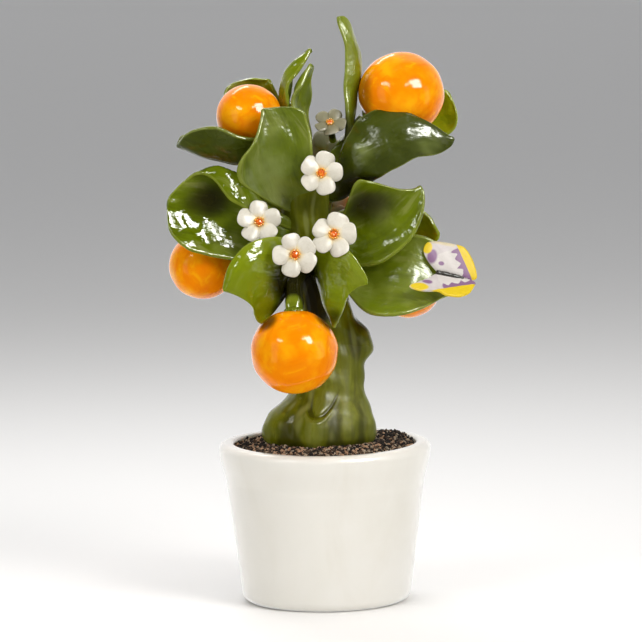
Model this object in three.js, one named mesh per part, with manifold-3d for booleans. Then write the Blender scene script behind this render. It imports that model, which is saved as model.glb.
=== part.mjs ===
// Glazed ceramic model of an orange tree in its own white pot.
// Millimetres, +Z up. The origin is the middle of the pot's flat underside, and the front faces -Y.
import * as THREE from "three";
import { mergeVertices } from "three/addons/utils/BufferGeometryUtils.js";
import Module from "manifold-3d";

const wasm = await Module();
wasm.setup();

// Driving dimensions
const potHeight = 82;
const rimRadius = 54.4;
const footRadius = 43.5;
const wallTopRadius = 50.6; // under the thick collar
const collarDepth = 22;
const collarBlend = 15; // height over which the wall swells into the collar
const collarSag = 0.3; // how far the swelling lies inside a straight line halfway up
const potWall = 7;
const soilLevel = 80;
const seatGap = 0.3; // clearance between neighbouring solids
const leafThickness = 2.8;
const rootSwelling = 0.5; // share by which a leaf is thicker where it leaves the wood
const edgeThinning = 0.25; // share by which its edges are thinner than its spine
const stalkHalfWidth = 2.6; // of a leaf, where it leaves the wood
const tipHalfWidth = 0.5;
const tipRoll = 0.08; // share of the curl that is left past where a rolled side opens out
const waveCount = 1.6; // ripples along each edge of a leaf
const waveLag = 0.4; // between its two edges, in turns
const petalCount = 5;
const petalReach = 11.2; // radius of a flower
const potSegments = 36;
const soilSegments = 28;
const fullTurn = 2 * Math.PI;

const glaze = (color, roughness) =>
  new THREE.MeshStandardMaterial({ color, roughness, metalness: 0 });
const materials = {
  pot: glaze(0xebe9e0, 0.25),
  soil: glaze(0x4a3c36, 0.95),
  bark: glaze(0x5d6a17, 0.18),
  leaf: glaze(0x4f6a10, 0.12),
  orange: glaze(0xf78f06, 0.12),
  petal: glaze(0xf3efe2, 0.2),
  wing: glaze(0xeee6e2, 0.2),
};

const vec = (p) => new THREE.Vector3(...p);
const degrees = THREE.MathUtils.degToRad;
const mid = (a, b) => a.map((value, i) => (value + b[i]) / 2);
const curveThrough = (points) =>
  new THREE.CatmullRomCurve3(points.map(vec), false, "centripetal");

// A closed body from rings of points, with both ends shut.
// A strip cap joins a ring's first half to its second, for a flat blade; a fan cap meets at its centre.
function bodyOfRings(rings, cap) {
  const around = rings[0].length;
  const positions = rings.flat().flatMap((p) => p.toArray());
  const triangles = [];
  for (let i = 0; i + 1 < rings.length; i++)
    for (let j = 0; j < around; j++) {
      const next = (j + 1) % around;
      const [a, b] = [i * around + j, i * around + next];
      const [c, d] = [a + around, b + around];
      triangles.push(a, b, d, a, d, c);
    }
  for (const [ring, flip] of [[0, false], [rings.length - 1, true]]) {
    const start = ring * around;
    const faces = [];
    if (cap === "strip") {
      for (let j = 0; j + 1 < around / 2; j++) {
        const [a, b] = [start + j, start + j + 1];
        const [c, d] = [start + around - 1 - j, start + around - 2 - j];
        faces.push([a, d, b], [a, c, d]);
      }
    } else {
      const centre = positions.length / 3;
      const middle = rings[ring].reduce((sum, p) => sum.add(p), new THREE.Vector3());
      positions.push(...middle.divideScalar(around).toArray());
      for (let j = 0; j < around; j++)
        faces.push([centre, start + ((j + 1) % around), start + j]);
    }
    for (const [a, b, c] of faces) triangles.push(...(flip ? [a, c, b] : [a, b, c]));
  }
  const geometry = new THREE.BufferGeometry();
  geometry.setAttribute("position", new THREE.Float32BufferAttribute(positions, 3));
  geometry.setIndex(triangles);
  return geometry;
}

// A three.js geometry as a manifold-3d solid, turned right side out if need be.
function solidOf(geometry) {
  const bare = geometry.clone();
  for (const name of ["normal", "uv"]) bare.deleteAttribute(name);
  const merged = mergeVertices(bare, 1e-4);
  const vertProperties = merged.attributes.position.array;
  const triVerts = new Uint32Array(merged.index.array);
  const made = new wasm.Manifold(new wasm.Mesh({ numProp: 3, vertProperties, triVerts }));
  if (made.volume() > 0) return made;
  for (let i = 0; i < triVerts.length; i += 3)
    [triVerts[i + 1], triVerts[i + 2]] = [triVerts[i + 2], triVerts[i + 1]];
  return new wasm.Manifold(new wasm.Mesh({ numProp: 3, vertProperties, triVerts }));
}

// A cut leaves very short edges and slivers. Each short edge is closed up, and each sliver turned across
// its longest edge, where that keeps the body closed and its faces pointing as they did.
const shortEdge = 0.15;
const sliverHeight = 0.03;

const normalOf = (points, [a, b, c]) =>
  THREE.Triangle.getNormal(points[a], points[b], points[c], new THREE.Vector3());
const heightOf = (points, [a, b, c]) => {
  const [ab, bc, ca] = [[a, b], [b, c], [c, a]].map(([i, j]) => points[i].distanceTo(points[j]));
  const area = new THREE.Triangle(points[a], points[b], points[c]).getArea();
  return (2 * area) / Math.max(ab, bc, ca);
};

function closeUp(points, faces, keep, drop) {
  const around = (corner) => new Set(faces.filter((face) => face.includes(corner)).flat());
  const [first, second] = [around(keep), around(drop)];
  const shared = [...first].filter((corner) => second.has(corner));
  if (shared.length !== 4) return false; // the edge's ends and the two corners facing it
  const moving = faces.filter((face) => face.includes(drop) && !face.includes(keep));
  const moved = moving.map((face) => face.map((corner) => (corner === drop ? keep : corner)));
  const flips = moved.some(
    (face, i) =>
      heightOf(points, moving[i]) > sliverHeight &&
      normalOf(points, face).dot(normalOf(points, moving[i])) < 0.3,
  );
  if (flips) return false;
  moving.forEach((face, i) => face.splice(0, 3, ...moved[i]));
  const gone = faces.filter((face) => face.includes(drop));
  for (const face of gone) faces.splice(faces.indexOf(face), 1);
  return true;
}

function turnAcross(points, faces, sliver) {
  const length = (k) => points[sliver[k]].distanceTo(points[sliver[(k + 1) % 3]]);
  const k = [0, 1, 2].reduce((best, i) => (length(i) > length(best) ? i : best));
  const [a, b, c] = [sliver[k], sliver[(k + 1) % 3], sliver[(k + 2) % 3]];
  const other = faces.find((face) => face !== sliver && face.includes(a) && face.includes(b));
  const d = other.find((corner) => corner !== a && corner !== b);
  if (faces.some((face) => face.includes(c) && face.includes(d))) return false;
  const facing = normalOf(points, other);
  const turned = [[a, d, c], [d, b, c]];
  const height = heightOf(points, sliver);
  const better = (face) =>
    heightOf(points, face) > height && normalOf(points, face).dot(facing) > 0.3;
  if (!turned.every(better)) return false;
  sliver.splice(0, 3, ...turned[0]);
  other.splice(0, 3, ...turned[1]);
  return true;
}

function withoutSlivers(points, faces) {
  const tooShort = (face, k) => points[face[k]].distanceTo(points[face[(k + 1) % 3]]) < shortEdge;
  const mendOne = () =>
    faces.some((face) =>
      [0, 1, 2].some((k) => {
        const [a, b] = [face[k], face[(k + 1) % 3]];
        return tooShort(face, k) && (closeUp(points, faces, a, b) || closeUp(points, faces, b, a));
      }),
    ) ||
    faces.some((face) => heightOf(points, face) < sliverHeight && turnAcross(points, faces, face));
  for (let mends = 0; mends < faces.length && mendOne(); mends++);
}

function geometryOf(solid) {
  const { vertProperties, triVerts } = solid.getMesh();
  const points = Array.from({ length: vertProperties.length / 3 }, (_, i) =>
    new THREE.Vector3().fromArray(vertProperties, i * 3),
  );
  const faces = Array.from({ length: triVerts.length / 3 }, (_, i) =>
    Array.from(triVerts.subarray(i * 3, i * 3 + 3)),
  );
  withoutSlivers(points, faces);
  const positions = faces.flat().flatMap((corner) => points[corner].toArray());
  const geometry = new THREE.BufferGeometry();
  geometry.setAttribute("position", new THREE.Float32BufferAttribute(positions, 3));
  const merged = mergeVertices(geometry, 1e-6);
  merged.computeVertexNormals();
  return merged;
}

const largestBody = (solid) =>
  solid.decompose().reduce((best, body) => (body.volume() > best.volume() ? body : best));

// Pot and soil

// A profile of [radius, height] points turned about the vertical axis.
function turned(profile, segments) {
  const points = profile.map(([r, z]) => new THREE.Vector2(r, z));
  return new THREE.LatheGeometry(points, segments).rotateX(Math.PI / 2);
}

// The points of a quarter-round from one profile point to another, about a centre.
function quarterRound([cx, cz], radius, from, to, steps) {
  const points = [];
  for (let i = 0; i <= steps; i++) {
    const angle = degrees(from + ((to - from) * i) / steps);
    points.push([cx + radius * Math.cos(angle), cz + radius * Math.sin(angle)]);
  }
  return points;
}

const footRound = 5;
const lipRound = 3.6;
const innerLipRound = 2;
const soilShoulder = 14; // below the soil's surface the pot narrows faster
const innerRadius = 46.6;
function potSolid() {
  const collarFoot = potHeight - collarDepth;
  const innerLip = [innerRadius + innerLipRound, potHeight - innerLipRound];
  const profile = [
    [0, 0],
    ...quarterRound([footRadius - footRound, footRound], footRound, -90, 0, 3),
    [wallTopRadius, collarFoot],
    [(wallTopRadius + rimRadius) / 2 - collarSag, collarFoot + collarBlend / 2],
    [rimRadius - collarSag, collarFoot + collarBlend],
    ...quarterRound([rimRadius - lipRound, potHeight - lipRound], lipRound, 0, 90, 3),
    ...quarterRound(innerLip, innerLipRound, 90, 180, 1),
    [innerRadius - 0.6, soilLevel - soilShoulder],
    [footRadius - potWall, potWall],
    [0, potWall],
  ];
  return solidOf(turned(profile, potSegments));
}

function soilSolid() {
  const topRadius = innerRadius - 2 * seatGap;
  const floorHeight = potWall + seatGap;
  const profile = [
    [0, floorHeight],
    [footRadius - potWall - 1, floorHeight],
    [innerRadius - 1.4, soilLevel - soilShoulder],
    [topRadius - 0.4, soilLevel - 1.6],
    [topRadius - 4, soilLevel],
    [0, soilLevel],
  ];
  return solidOf(turned(profile, soilSegments));
}

// Trunk

// Each station is [height, centre x, centre y, radius]: wide at the root flare, leaning left at the fork.
const trunkStations = [
  [soilLevel + seatGap, -2.5, -1, 27],
  [90, -2.5, -1, 27.2],
  [98, -1.5, -1, 25],
  [107, 1.5, 0, 19.6],
  [120, 3.5, 0, 17.4],
  [134, 3, 0, 15.6],
  [150, 1.5, 0, 13.6],
  [168, -2.5, 0, 12.8],
  [186, -6.5, 0, 12.4],
  [202, -8, 0, 12.6],
  [214, -6, 0, 13],
  [222, -4.5, 0, 11],
  [227, -4, 0, 6.5],
];
// Each root lobe is [degrees round the trunk with 270 at the front, how far it stands out, spread].
const flareLobes = [[200, 5.2, 20], [264, 3.4, 18], [340, 5, 20], [48, 3.2, 17], [128, 3.2, 17]];
const flareHollow = 1.8; // how far the flare draws in between its lobes
const flareTop = 112;
const knob = { angle: 352, height: 134, reach: 6.2, wide: 24, tall: 8.5 }; // cut branch on the right
const barkRidges = 9;
const barkRidgeDepth = 0.5;
const barkRidgeTwist = 1.5; // degrees for each millimetre up

const gapBetween = (a, b) => Math.abs(((a - b + 540) % 360) - 180);
const bell = (distance, spread) => Math.exp(-((distance / spread) ** 2));

// How far the bark stands out of the plain tapering trunk at an angle in degrees and a height.
function barkRelief(angle, height) {
  const flare = THREE.MathUtils.clamp((flareTop - height) / (flareTop - soilLevel), 0, 1);
  const lobes = flareLobes.reduce(
    (sum, [at, reach, spread]) => sum + reach * bell(gapBetween(angle, at), spread),
    -flareHollow,
  );
  const ridges = barkRidgeDepth * Math.cos(degrees(angle * barkRidges + height * barkRidgeTwist));
  const stub =
    knob.reach *
    bell(gapBetween(angle, knob.angle), knob.wide) *
    bell(height - knob.height, knob.tall);
  return lobes * Math.min(1, flare * 1.6) + ridges + stub;
}

const trunkLine = curveThrough(trunkStations.map(([z, x, y]) => [x, y, z]));
const trunkGirth = curveThrough(trunkStations.map(([z, , , r]) => [r, 0, z]));
function trunkSolid(grow) {
  const levels = 22;
  const around = 18;
  const rings = [];
  for (let i = 0; i <= levels; i++) {
    const centre = trunkLine.getPoint(i / levels);
    const radius = trunkGirth.getPoint(i / levels).x + grow;
    const height = centre.z + (i === 0 ? -grow : i === levels ? grow : 0);
    rings.push(
      Array.from({ length: around }, (_, j) => {
        const angle = (j * 360) / around;
        const reach = radius + barkRelief(angle, centre.z);
        const turn = degrees(angle);
        return new THREE.Vector3(
          centre.x + reach * Math.cos(turn),
          centre.y + reach * Math.sin(turn),
          height,
        );
      }),
    );
  }
  return solidOf(bodyOfRings(rings, "fan"));
}

// Boughs and fruit stalks: one tapering round limb along a curve

function limbSolid({ line, girth }, grow) {
  const curve = curveThrough(line);
  const steps = 4;
  const around = 8;
  const frames = curve.computeFrenetFrames(steps, false);
  const rings = [];
  for (let i = 0; i <= steps; i++) {
    const t = i / steps;
    const centre = curve.getPointAt(t);
    const radius = THREE.MathUtils.lerp(girth[0], girth[1], t) + grow;
    rings.push(
      Array.from({ length: around }, (_, j) => {
        const turn = (j * fullTurn) / around;
        return centre
          .clone()
          .addScaledVector(frames.normals[i], radius * Math.cos(turn))
          .addScaledVector(frames.binormals[i], radius * Math.sin(turn));
      }),
    );
  }
  return solidOf(bodyOfRings(rings, "fan"));
}

// Oranges: a sphere, flattened a little from top to bottom

const fruitFlatness = 0.97;
function orangeSolid({ at, radius }, grow) {
  const sphere = new THREE.SphereGeometry(radius + grow, 16, 10).rotateX(Math.PI / 2);
  return solidOf(sphere.scale(1, 1, fruitFlatness).translate(...at));
}

// Leaves: a blade of a few millimetres, curled about a spine that runs from its root to its tip

// Half the blade's width at a share of its length, one at the widest place. A low power is blunt,
// and a pair gives one power for the root's end and one for the tip's.
function bladeOutline(share, widest, power) {
  const [rootPower, tipPower] = Array.isArray(power) ? power : [power, power];
  const rise = rootPower * widest;
  const fall = tipPower * (1 - widest);
  return (share ** rise * (1 - share) ** fall) / (widest ** rise * (1 - widest) ** fall);
}

// The second side's width at a share of the length, along a smooth curve through [share, width].
function reachAlong(steps, share) {
  const curve = curveThrough(steps.map(([at, width]) => [at, width, 0])).getPoints(300);
  const over = Math.max(1, curve.findIndex((point) => point.x >= share - 1e-9));
  const [a, b] = [curve[over - 1], curve[over]];
  return THREE.MathUtils.lerp(a.y, b.y, (share - a.x) / (b.x - a.x));
}

// How much of the curl is done at a share across: a power of it, or a smooth step between two.
const rollShare = (share, roll) =>
  Array.isArray(roll) ? THREE.MathUtils.smoothstep(share, ...roll) : share ** roll;

// The blade runs across the spine: its first side is where "across" points away from.
// Each side turns up by its fold at the spine and its fold and curl at the edge, towards across x
// tangent. A high roll keeps the curl near the edge. A second side with a reach has its own widths,
// and its curl fades between two shares of the length.
function leafSolid(leaf, grow) {
  const { spine, across, width, widest, power = [1.2, 1.2], fold = [0, 0], curl } = leaf;
  const { roll = [1, 1], wave = 1, reach, rollFade, steps = 8, halfSteps = 3 } = leaf;
  const line = curveThrough(spine);
  const side = curveThrough(across.length === 1 ? [...across, ...across] : across);
  const rings = [];
  for (let i = 0; i <= steps; i++) {
    const t = i / steps;
    const centre = line.getPoint(t);
    const tangent = line.getTangent(t);
    if (i === 0) centre.addScaledVector(tangent, -grow);
    if (i === steps) centre.addScaledVector(tangent, grow);
    const sideways = side.getPoint(t).normalize();
    const face = sideways.clone().cross(tangent).normalize();
    const upper = [];
    const lower = [];
    const place = (point, lean, share) => {
      const normal = face.clone().applyAxisAngle(tangent, lean);
      const swelling = 1 + rootSwelling * (1 - t) ** 3 - edgeThinning * share;
      const halfThick = (leafThickness * swelling) / 2 + grow;
      upper.push(point.clone().addScaledVector(normal, halfThick));
      lower.push(point.clone().addScaledVector(normal, -halfThick));
    };
    for (const k of [0, 1]) {
      const sign = k === 0 ? -1 : 1;
      const own = k === 1 && reach;
      const blade = own ? reachAlong(reach, t) : width[k] * bladeOutline(t, widest[k], power[k]);
      const half = blade + stalkHalfWidth * (1 - t) ** 4 + tipHalfWidth + grow;
      const rolled = own ? 1 - (1 - tipRoll) * THREE.MathUtils.smoothstep(t, ...rollFade) : 1;
      const turnAt = (share) => degrees(fold[k] + curl[k] * rolled * rollShare(share, roll[k]));
      const point = centre.clone();
      const sidePoints = [];
      for (let j = 1; j <= halfSteps; j++) {
        const share = j / halfSteps;
        const turn = turnAt(share - 0.5 / halfSteps);
        point.addScaledVector(sideways, (sign * half * Math.cos(turn)) / halfSteps);
        point.addScaledVector(face, (half * Math.sin(turn)) / halfSteps);
        const ripple = wave * share ** 2 * Math.sin(fullTurn * (t * waveCount + k * waveLag));
        sidePoints.push([point.clone().addScaledVector(face, ripple), -sign * turnAt(share), share]);
      }
      if (k === 0) sidePoints.reverse();
      else place(centre, 0, 0);
      for (const entry of sidePoints) place(...entry);
    }
    rings.push([...upper, ...lower.reverse()]);
  }
  return solidOf(bodyOfRings(rings, "strip"));
}

// Flowers: five thick round petals in one piece, on a stalk that points back to the wood

// Each station is [share of the reach, height, how deep the notches between petals are].
const flowerStations = [
  [0.16, 2.2, 0],
  [0.45, 1.6, 0.1],
  [0.8, 2.6, 0.25],
  [1, 1.2, 0.42],
  [0.9, -0.8, 0.42],
  [0.5, -1.6, 0.2],
  [0.22, -2.6, 0],
];
const petalAngles = [-36, -17, 17]; // the notch before a petal, then its two shoulders
const flowerStalkShare = 0.2; // of the reach
function flowerSolid({ at, facing, spin, size = 1, stalk }) {
  const corners = petalAngles.length;
  const ring = (share, height, notch) =>
    Array.from({ length: petalCount * corners }, (_, j) => {
      const petal = (Math.floor(j / corners) * 360) / petalCount;
      const turn = degrees(spin + petal + petalAngles[j % corners]);
      const reach = petalReach * size * share * (j % corners === 0 ? 1 - notch : 1);
      return new THREE.Vector3(reach * Math.cos(turn), reach * Math.sin(turn), height * size);
    });
  const rings = flowerStations.map((station) => ring(...station));
  rings.push(ring(flowerStalkShare, -stalk / size, 0));
  const geometry = bodyOfRings(rings.reverse(), "fan");
  return solidOf(geometry.applyMatrix4(facingMatrix(at, facing)));
}

// Turns +Z to a direction, keeping local +Y as near to upright as it goes, and moves to a place.
function facingMatrix(at, facing) {
  const z = vec(facing).normalize();
  const x = new THREE.Vector3(0, 0, 1).cross(z).normalize();
  const y = z.clone().cross(x);
  return new THREE.Matrix4().makeBasis(x, y, z).setPosition(vec(at));
}

// Butterfly: two painted wings and a slim body, perched on the right-hand lower leaf

const wingThickness = 1.8;
const butterfly = { head: [57, -23.5, 169.8], tail: [71.5, -22, 166.4], girth: [1.3, 0.8] };
const wings = [ // an outline is [along the body, away from it]
  { name: "butterfly_wing_high", outward: [0.1, 0.35, 1], sweep: 0,
    outline: [[0, 0.8], [-5.4, 5.5], [-8.2, 10.2], [-7, 14.6], [-2.2, 16.4], [5.2, 16.9],
      [12.3, 16.4], [16.5, 12.5], [19.6, 7.5], [21.2, 1]] },
  { name: "butterfly_wing_low", outward: [0, -1, -0.68], sweep: 0.4,
    outline: [[0.5, 0.8], [-3.2, 7.6], [-6.9, 12.4], [-7.6, 15.2], [-5.8, 17], [0.8, 17],
      [6.8, 14.6], [12, 16.6], [18.6, 15.8], [22, 11.5], [22.3, 5], [21.2, 1]] },
];
function wingSolid({ outward, sweep, outline }) {
  const shape = new THREE.Shape(outline.map(([s, w]) => new THREE.Vector2(s - sweep * w, w)));
  const plate = new THREE.ExtrudeGeometry(shape, { depth: wingThickness, bevelEnabled: false });
  const along = vec(butterfly.tail).sub(vec(butterfly.head)).normalize();
  const out = vec(outward);
  out.addScaledVector(along, -out.dot(along)).normalize();
  const basis = new THREE.Matrix4().makeBasis(along, out, along.clone().cross(out));
  plate.translate(0, 0, -wingThickness / 2).applyMatrix4(basis);
  return solidOf(plate.translate(...butterfly.head));
}

function butterflyBody(grow) {
  const { head, tail } = butterfly;
  return limbSolid({ line: [head, mid(head, tail), tail], girth: butterfly.girth }, grow);
}

// Where everything is

const limbs = [
  { name: "bough_right", line: [[-1, 0, 208], [11, 3, 228], [24, 4, 246]], girth: [7.5, 5] },
  { name: "bough_left", line: [[-8, 1, 208], [-16, 3, 228], [-26, 1, 241]], girth: [7.5, 4.6] },
  { name: "stalk_front", line: [[-7, -6, 172], [-14, -24, 167], [-14.5, -38, 148]], girth: [5, 3.8] },
  { name: "stalk_left", line: [[-8, 0, 186], [-34, -1, 188], [-56, -3, 182]], girth: [4.6, 3.4] },
  { name: "stalk_right", line: [[-2, 2, 168], [20, 4, 170], [36, 1, 165]], girth: [4.6, 3.6] },
  { name: "stalk_back_left_high", line: [[-6, 4, 212], [-14, 13, 217], [-22, 20, 222]], girth: [4.6, 3.6] },
  { name: "stalk_back_low", line: [[0, 4, 172], [2, 24, 176], [3, 38, 164]], girth: [4.8, 3.6] },
  { name: "stalk_back_right", line: [[-4, 4, 190], [12, 16, 192], [24, 27, 195]], girth: [4.6, 3.4] },
  { name: "stalk_back_left_low", line: [[-5, 4, 186], [-20, 20, 192], [-34, 31, 189]], girth: [4.6, 3.4] },
];

const oranges = [
  { name: "orange_right_high", at: [41.3, 2, 259.2], radius: 22.1 },
  { name: "orange_left_high", at: [-36.3, 0, 249], radius: 16.9 },
  { name: "orange_left_middle", at: [-60.9, -3, 173.2], radius: 17.6 },
  { name: "orange_front", at: [-14.6, -40, 132.8], radius: 22.1 },
  { name: "orange_right_low", at: [43.7, 0, 162], radius: 17.8 },
  { name: "orange_back_left_high", at: [-25.2, 23, 224], radius: 16.4 },
  { name: "orange_back_low", at: [-2, 38, 150], radius: 15.6 },
  { name: "orange_back_right", at: [28, 31, 196], radius: 16 },
  { name: "orange_back_left_low", at: [-38, 34, 186], radius: 16.6 },
];

const leaves = [
  { name: "leaf_top_right", spine: [[15, 3, 232], [17.5, 2, 252], [17.5, 0, 277], [9.5, -4, 299]],
    across: [[0, -1, 0], [-0.35, -1, -0.1], [-0.8, -0.6, -0.3]], width: [7.5, 8],
    widest: [0.62, 0.35], power: [0.8, 1.2], fold: [6, 6], curl: [20, 20] },
  { name: "leaf_top_left", spine: [[-17, 6, 236], [-19.5, 6, 254], [-17, 5, 270], [-4, 4, 282.5]],
    across: [[0, 1, 0]], width: [9, 9], widest: [0.4, 0.4], fold: [8, 8], curl: [30, 30] },
  { name: "leaf_top_middle", spine: [[-9, 6, 236], [-12, 4, 252], [-10.5, 3, 264], [-4, 2, 275]],
    across: [[0.5, 0.85, 0]], width: [8, 8], widest: [0.45, 0.45], fold: [8, 8], curl: [25, 25] },
  { name: "leaf_front_left_high",
    spine: [[-10, -6, 203], [-18, -17, 220], [-20, -22, 240], [-27.5, -23, 252.5]],
    across: [[0.9, -0.1, 0.4], [1, 0.1, 0.05], [0.9, 0.1, 0.5]], width: [23.5, 14.5],
    widest: [0.4, 0.76], power: [[2.4, 1.3], [1.2, 0.9]], curl: [35, 25] },
  { name: "leaf_front_right_high",
    spine: [[4, -5, 207], [24, -22, 226], [45, -24, 238], [67.5, -17, 237]],
    across: [[-0.65, 0.2, 0.75], [-0.5, 0.1, 0.85], [0.1, 0.2, 1]], width: [11, 24],
    widest: [0.6, 0.3], power: [1.2, [1.2, 2.1]], curl: [40, 45] },
  { name: "leaf_behind_right_orange",
    spine: [[18, 5, 234], [40, 24, 244], [56, 24, 252], [67, 19, 258]],
    across: [[0.35, 0, -0.95], [0.5, 0, -0.9]], width: [12, 18], widest: [0.5, 0.72],
    curl: [30, 25] },
  { name: "leaf_left_high",
    spine: [[-14.5, -2, 229], [-36, -6.5, 225.5], [-56, -8, 229], [-73, -10, 235.5]],
    across: [[0, 1, 0], [-0.2, 1, 0.1]], width: [20, 13], widest: [0.5, 0.5],
    power: [[1.2, 0.75], [1.2, 0.75]], fold: [35, 20], curl: [30, 50] },
  { name: "leaf_behind_left_orange",
    spine: [[-13, 4, 236], [-28, 19, 246], [-38, 21, 256], [-43, 18, 266]],
    across: [[0.7, 0.3, 0.6], [0.7, 0, 0.7], [0.95, 0, 0.3]], width: [13, 17],
    widest: [0.6, 0.7], curl: [30, 30] },
  { name: "leaf_left_middle",
    spine: [[-12, -4, 190], [-36, -15, 196], [-57, -17, 203], [-78, -22, 207]],
    across: [[0.2, 0, 1], [0.3, 0, 0.95], [0.1, 0, 1]], width: [25, 39], widest: [0.66, 0.62],
    power: [0.9, 1.2], curl: [45, 172], roll: [1, [0.42, 0.8]], rollFade: [0.62, 0.8],
    reach: [[0, 2], [0.2, 14], [0.36, 26], [0.48, 36], [0.62, 39], [0.7, 31], [0.77, 19],
      [0.85, 12], [0.93, 7], [1, 2]],
    steps: 12, halfSteps: 6 },
  { name: "leaf_right_middle",
    spine: [[5, -6, 184], [19, -15, 187], [34, -19, 196], [50.5, -18, 213.5]],
    across: [[0.3, 0, -0.95], [0.3, 0, -0.95], [0.8, 0, -0.6]], width: [29, 17],
    widest: [0.56, 0.55], power: [4, 1.6], curl: [40, 45] },
  { name: "leaf_right_low",
    spine: [[6, -6, 172], [26, -15, 170], [46, -22, 168], [64.5, -22, 158.5]],
    across: [[-0.3, -0.3, -0.9], [-0.15, -0.4, -0.9], [-0.3, -0.6, -0.75]], width: [21, 27],
    widest: [0.7, 0.52], power: [1.8, 2.6], curl: [25, 30] },
  { name: "leaf_front_left_low",
    spine: [[-12, -10, 176], [-21, -31, 183.5], [-37, -40, 180.5], [-49.5, -40, 163.5]],
    across: [[0.1, 0.4, 0.9], [0, 0, 1], [-0.5, 0, 0.85]], width: [38, 6], widest: [0.44, 0.5],
    power: [2.2, 1.2], curl: [-22, -20] },
  { name: "leaf_front_right_low",
    spine: [[-6, -10, 176], [0, -31, 181], [12, -40, 177.5], [22.5, -40, 166]],
    across: [[-0.1, 0.4, 0.9], [0, 0, 1], [0.4, 0, 0.9]], width: [37, 6], widest: [0.33, 0.5],
    power: [2, 1.2], curl: [15, 20] },
  { name: "leaf_right_behind", spine: [[4, 4, 190], [28, 14, 194], [46, 13, 194], [59.5, 6, 184]],
    across: [[0, 0, -1], [0, 0, -1], [-0.4, 0.5, -0.8]], width: [11, 13], widest: [0.6, 0.6],
    curl: [30, 30] },
  { name: "leaf_back_left_low",
    spine: [[-6, 5, 170], [-16, 24, 174], [-22, 40, 168], [-25, 52, 153]],
    across: [[1, 0, 0.2], [1, 0.2, 0.2]], width: [12, 12], widest: [0.5, 0.5],
    curl: [-30, -30] },
  { name: "leaf_back_right_low",
    spine: [[2, 5, 166], [22, 26, 170], [38, 38, 168], [50, 44, 158]],
    across: [[0, 0, 1], [0, 0, 1], [0.6, 0.3, 0.75]], width: [16, 16], widest: [0.5, 0.5],
    curl: [35, 35] },
  { name: "leaf_back_low", spine: [[-3, 5, 184], [3, 28, 190], [6, 44, 186], [9, 57, 172]],
    across: [[1, 0, 0]], width: [17, 17], widest: [0.5, 0.5], curl: [-30, -30] },
  { name: "leaf_back_left_middle",
    spine: [[-10, 3, 192], [-34, 20, 196], [-50, 27, 203], [-65, 27, 210]],
    across: [[0, 0, -1], [-0.3, 0.2, -0.9], [-0.5, 0, -0.85]], width: [15, 17],
    widest: [0.6, 0.6], curl: [40, 45] },
  { name: "leaf_back_right_middle",
    spine: [[2, 4, 190], [24, 20, 188], [40, 32, 184], [54, 36, 188]],
    across: [[0, 0, 1], [0.2, 0.15, 1], [-0.3, 0, 0.95]], width: [14, 16],
    widest: [0.55, 0.55], curl: [35, 35] },
  { name: "leaf_back_middle", spine: [[-5, 5, 208], [-6, 26, 218], [-6, 40, 216], [-6, 53, 204]],
    across: [[1, 0, 0]], width: [16, 15], widest: [0.5, 0.5], curl: [-30, -30] },
  { name: "leaf_back_left_high",
    spine: [[-13, 3, 232], [-18, 20, 245], [-24, 32, 250], [-32, 42, 246]],
    across: [[1, 0.15, 0.15], [0.9, 0.35, 0.25], [0.75, 0.65, 0]], width: [13, 11],
    widest: [0.5, 0.5], curl: [20, 20] },
  { name: "leaf_back_right_high",
    spine: [[8, 4, 224], [26, 22, 234], [38, 34, 238], [48, 44, 233]],
    across: [[-0.65, 0.25, 0.7], [-0.6, 0.3, 0.75], [-0.25, 0.7, 0.7]], width: [12, 13],
    widest: [0.5, 0.5], curl: [30, 30] },
];

const flowers = [
  { name: "flower_centre", at: [-0.1, -22, 221], facing: [0, -1, 0.1], spin: 2, stalk: 16 },
  { name: "flower_left", at: [-31.6, -26, 196.6], facing: [0.1, -1, 0.15], spin: 16, stalk: 14 },
  { name: "flower_front", at: [-13.6, -42, 181.6], facing: [0, -1, 0.1], spin: 36, stalk: 27 },
  { name: "flower_right", at: [6, -32, 190.6], facing: [0.1, -1, 0.1], spin: 5, stalk: 20 },
  { name: "flower_top", at: [4.9, -4, 245], facing: [-0.1, -0.8, 0.7], spin: -8, size: 0.72,
    stalk: 14 },
  { name: "flower_back_high", at: [1, 18, 229], facing: [0.1, 1, 0.3], spin: 20, stalk: 14 },
  { name: "flower_back_left", at: [-20, 33, 206], facing: [-0.3, 1, 0.1], spin: 50, stalk: 22 },
  { name: "flower_back_right", at: [4, 40, 200], facing: [0.1, 1, 0.1], spin: 8, stalk: 28 },
];

const tree = new THREE.Group();
const seated = []; // what later pieces are cut clear of

function addMesh(name, solid, material) {
  const mesh = new THREE.Mesh(geometryOf(solid), material);
  mesh.name = name;
  tree.add(mesh);
}

// A piece cut clear of all that is seated before it; only its main body is kept.
const cutClear = (solid) => largestBody(seated.reduce((left, grown) => left.subtract(grown), solid));

function seat(name, make, material) {
  addMesh(name, cutClear(make(0)), material);
  seated.push(make(seatGap));
}

addMesh("pot", potSolid(), materials.pot);
addMesh("soil", soilSolid(), materials.soil);
seat("trunk", trunkSolid, materials.bark);
for (const fruit of oranges)
  seat(fruit.name, (grow) => orangeSolid(fruit, grow), materials.orange);
for (const limb of limbs) seat(limb.name, (grow) => limbSolid(limb, grow), materials.bark);
for (const leaf of leaves) seat(leaf.name, (grow) => leafSolid(leaf, grow), materials.leaf);
seat("butterfly_body", butterflyBody, materials.wing);
for (const wing of wings) addMesh(wing.name, cutClear(wingSolid(wing)), materials.wing);
for (const flower of flowers)
  addMesh(flower.name, cutClear(flowerSolid(flower)), materials.petal);

export default tree;
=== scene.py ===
# Glazed ceramic orange tree in its white pot: fine surfaces, glazes, light and camera.
import math

import bpy
import numpy as np
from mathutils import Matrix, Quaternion, Vector


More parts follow.
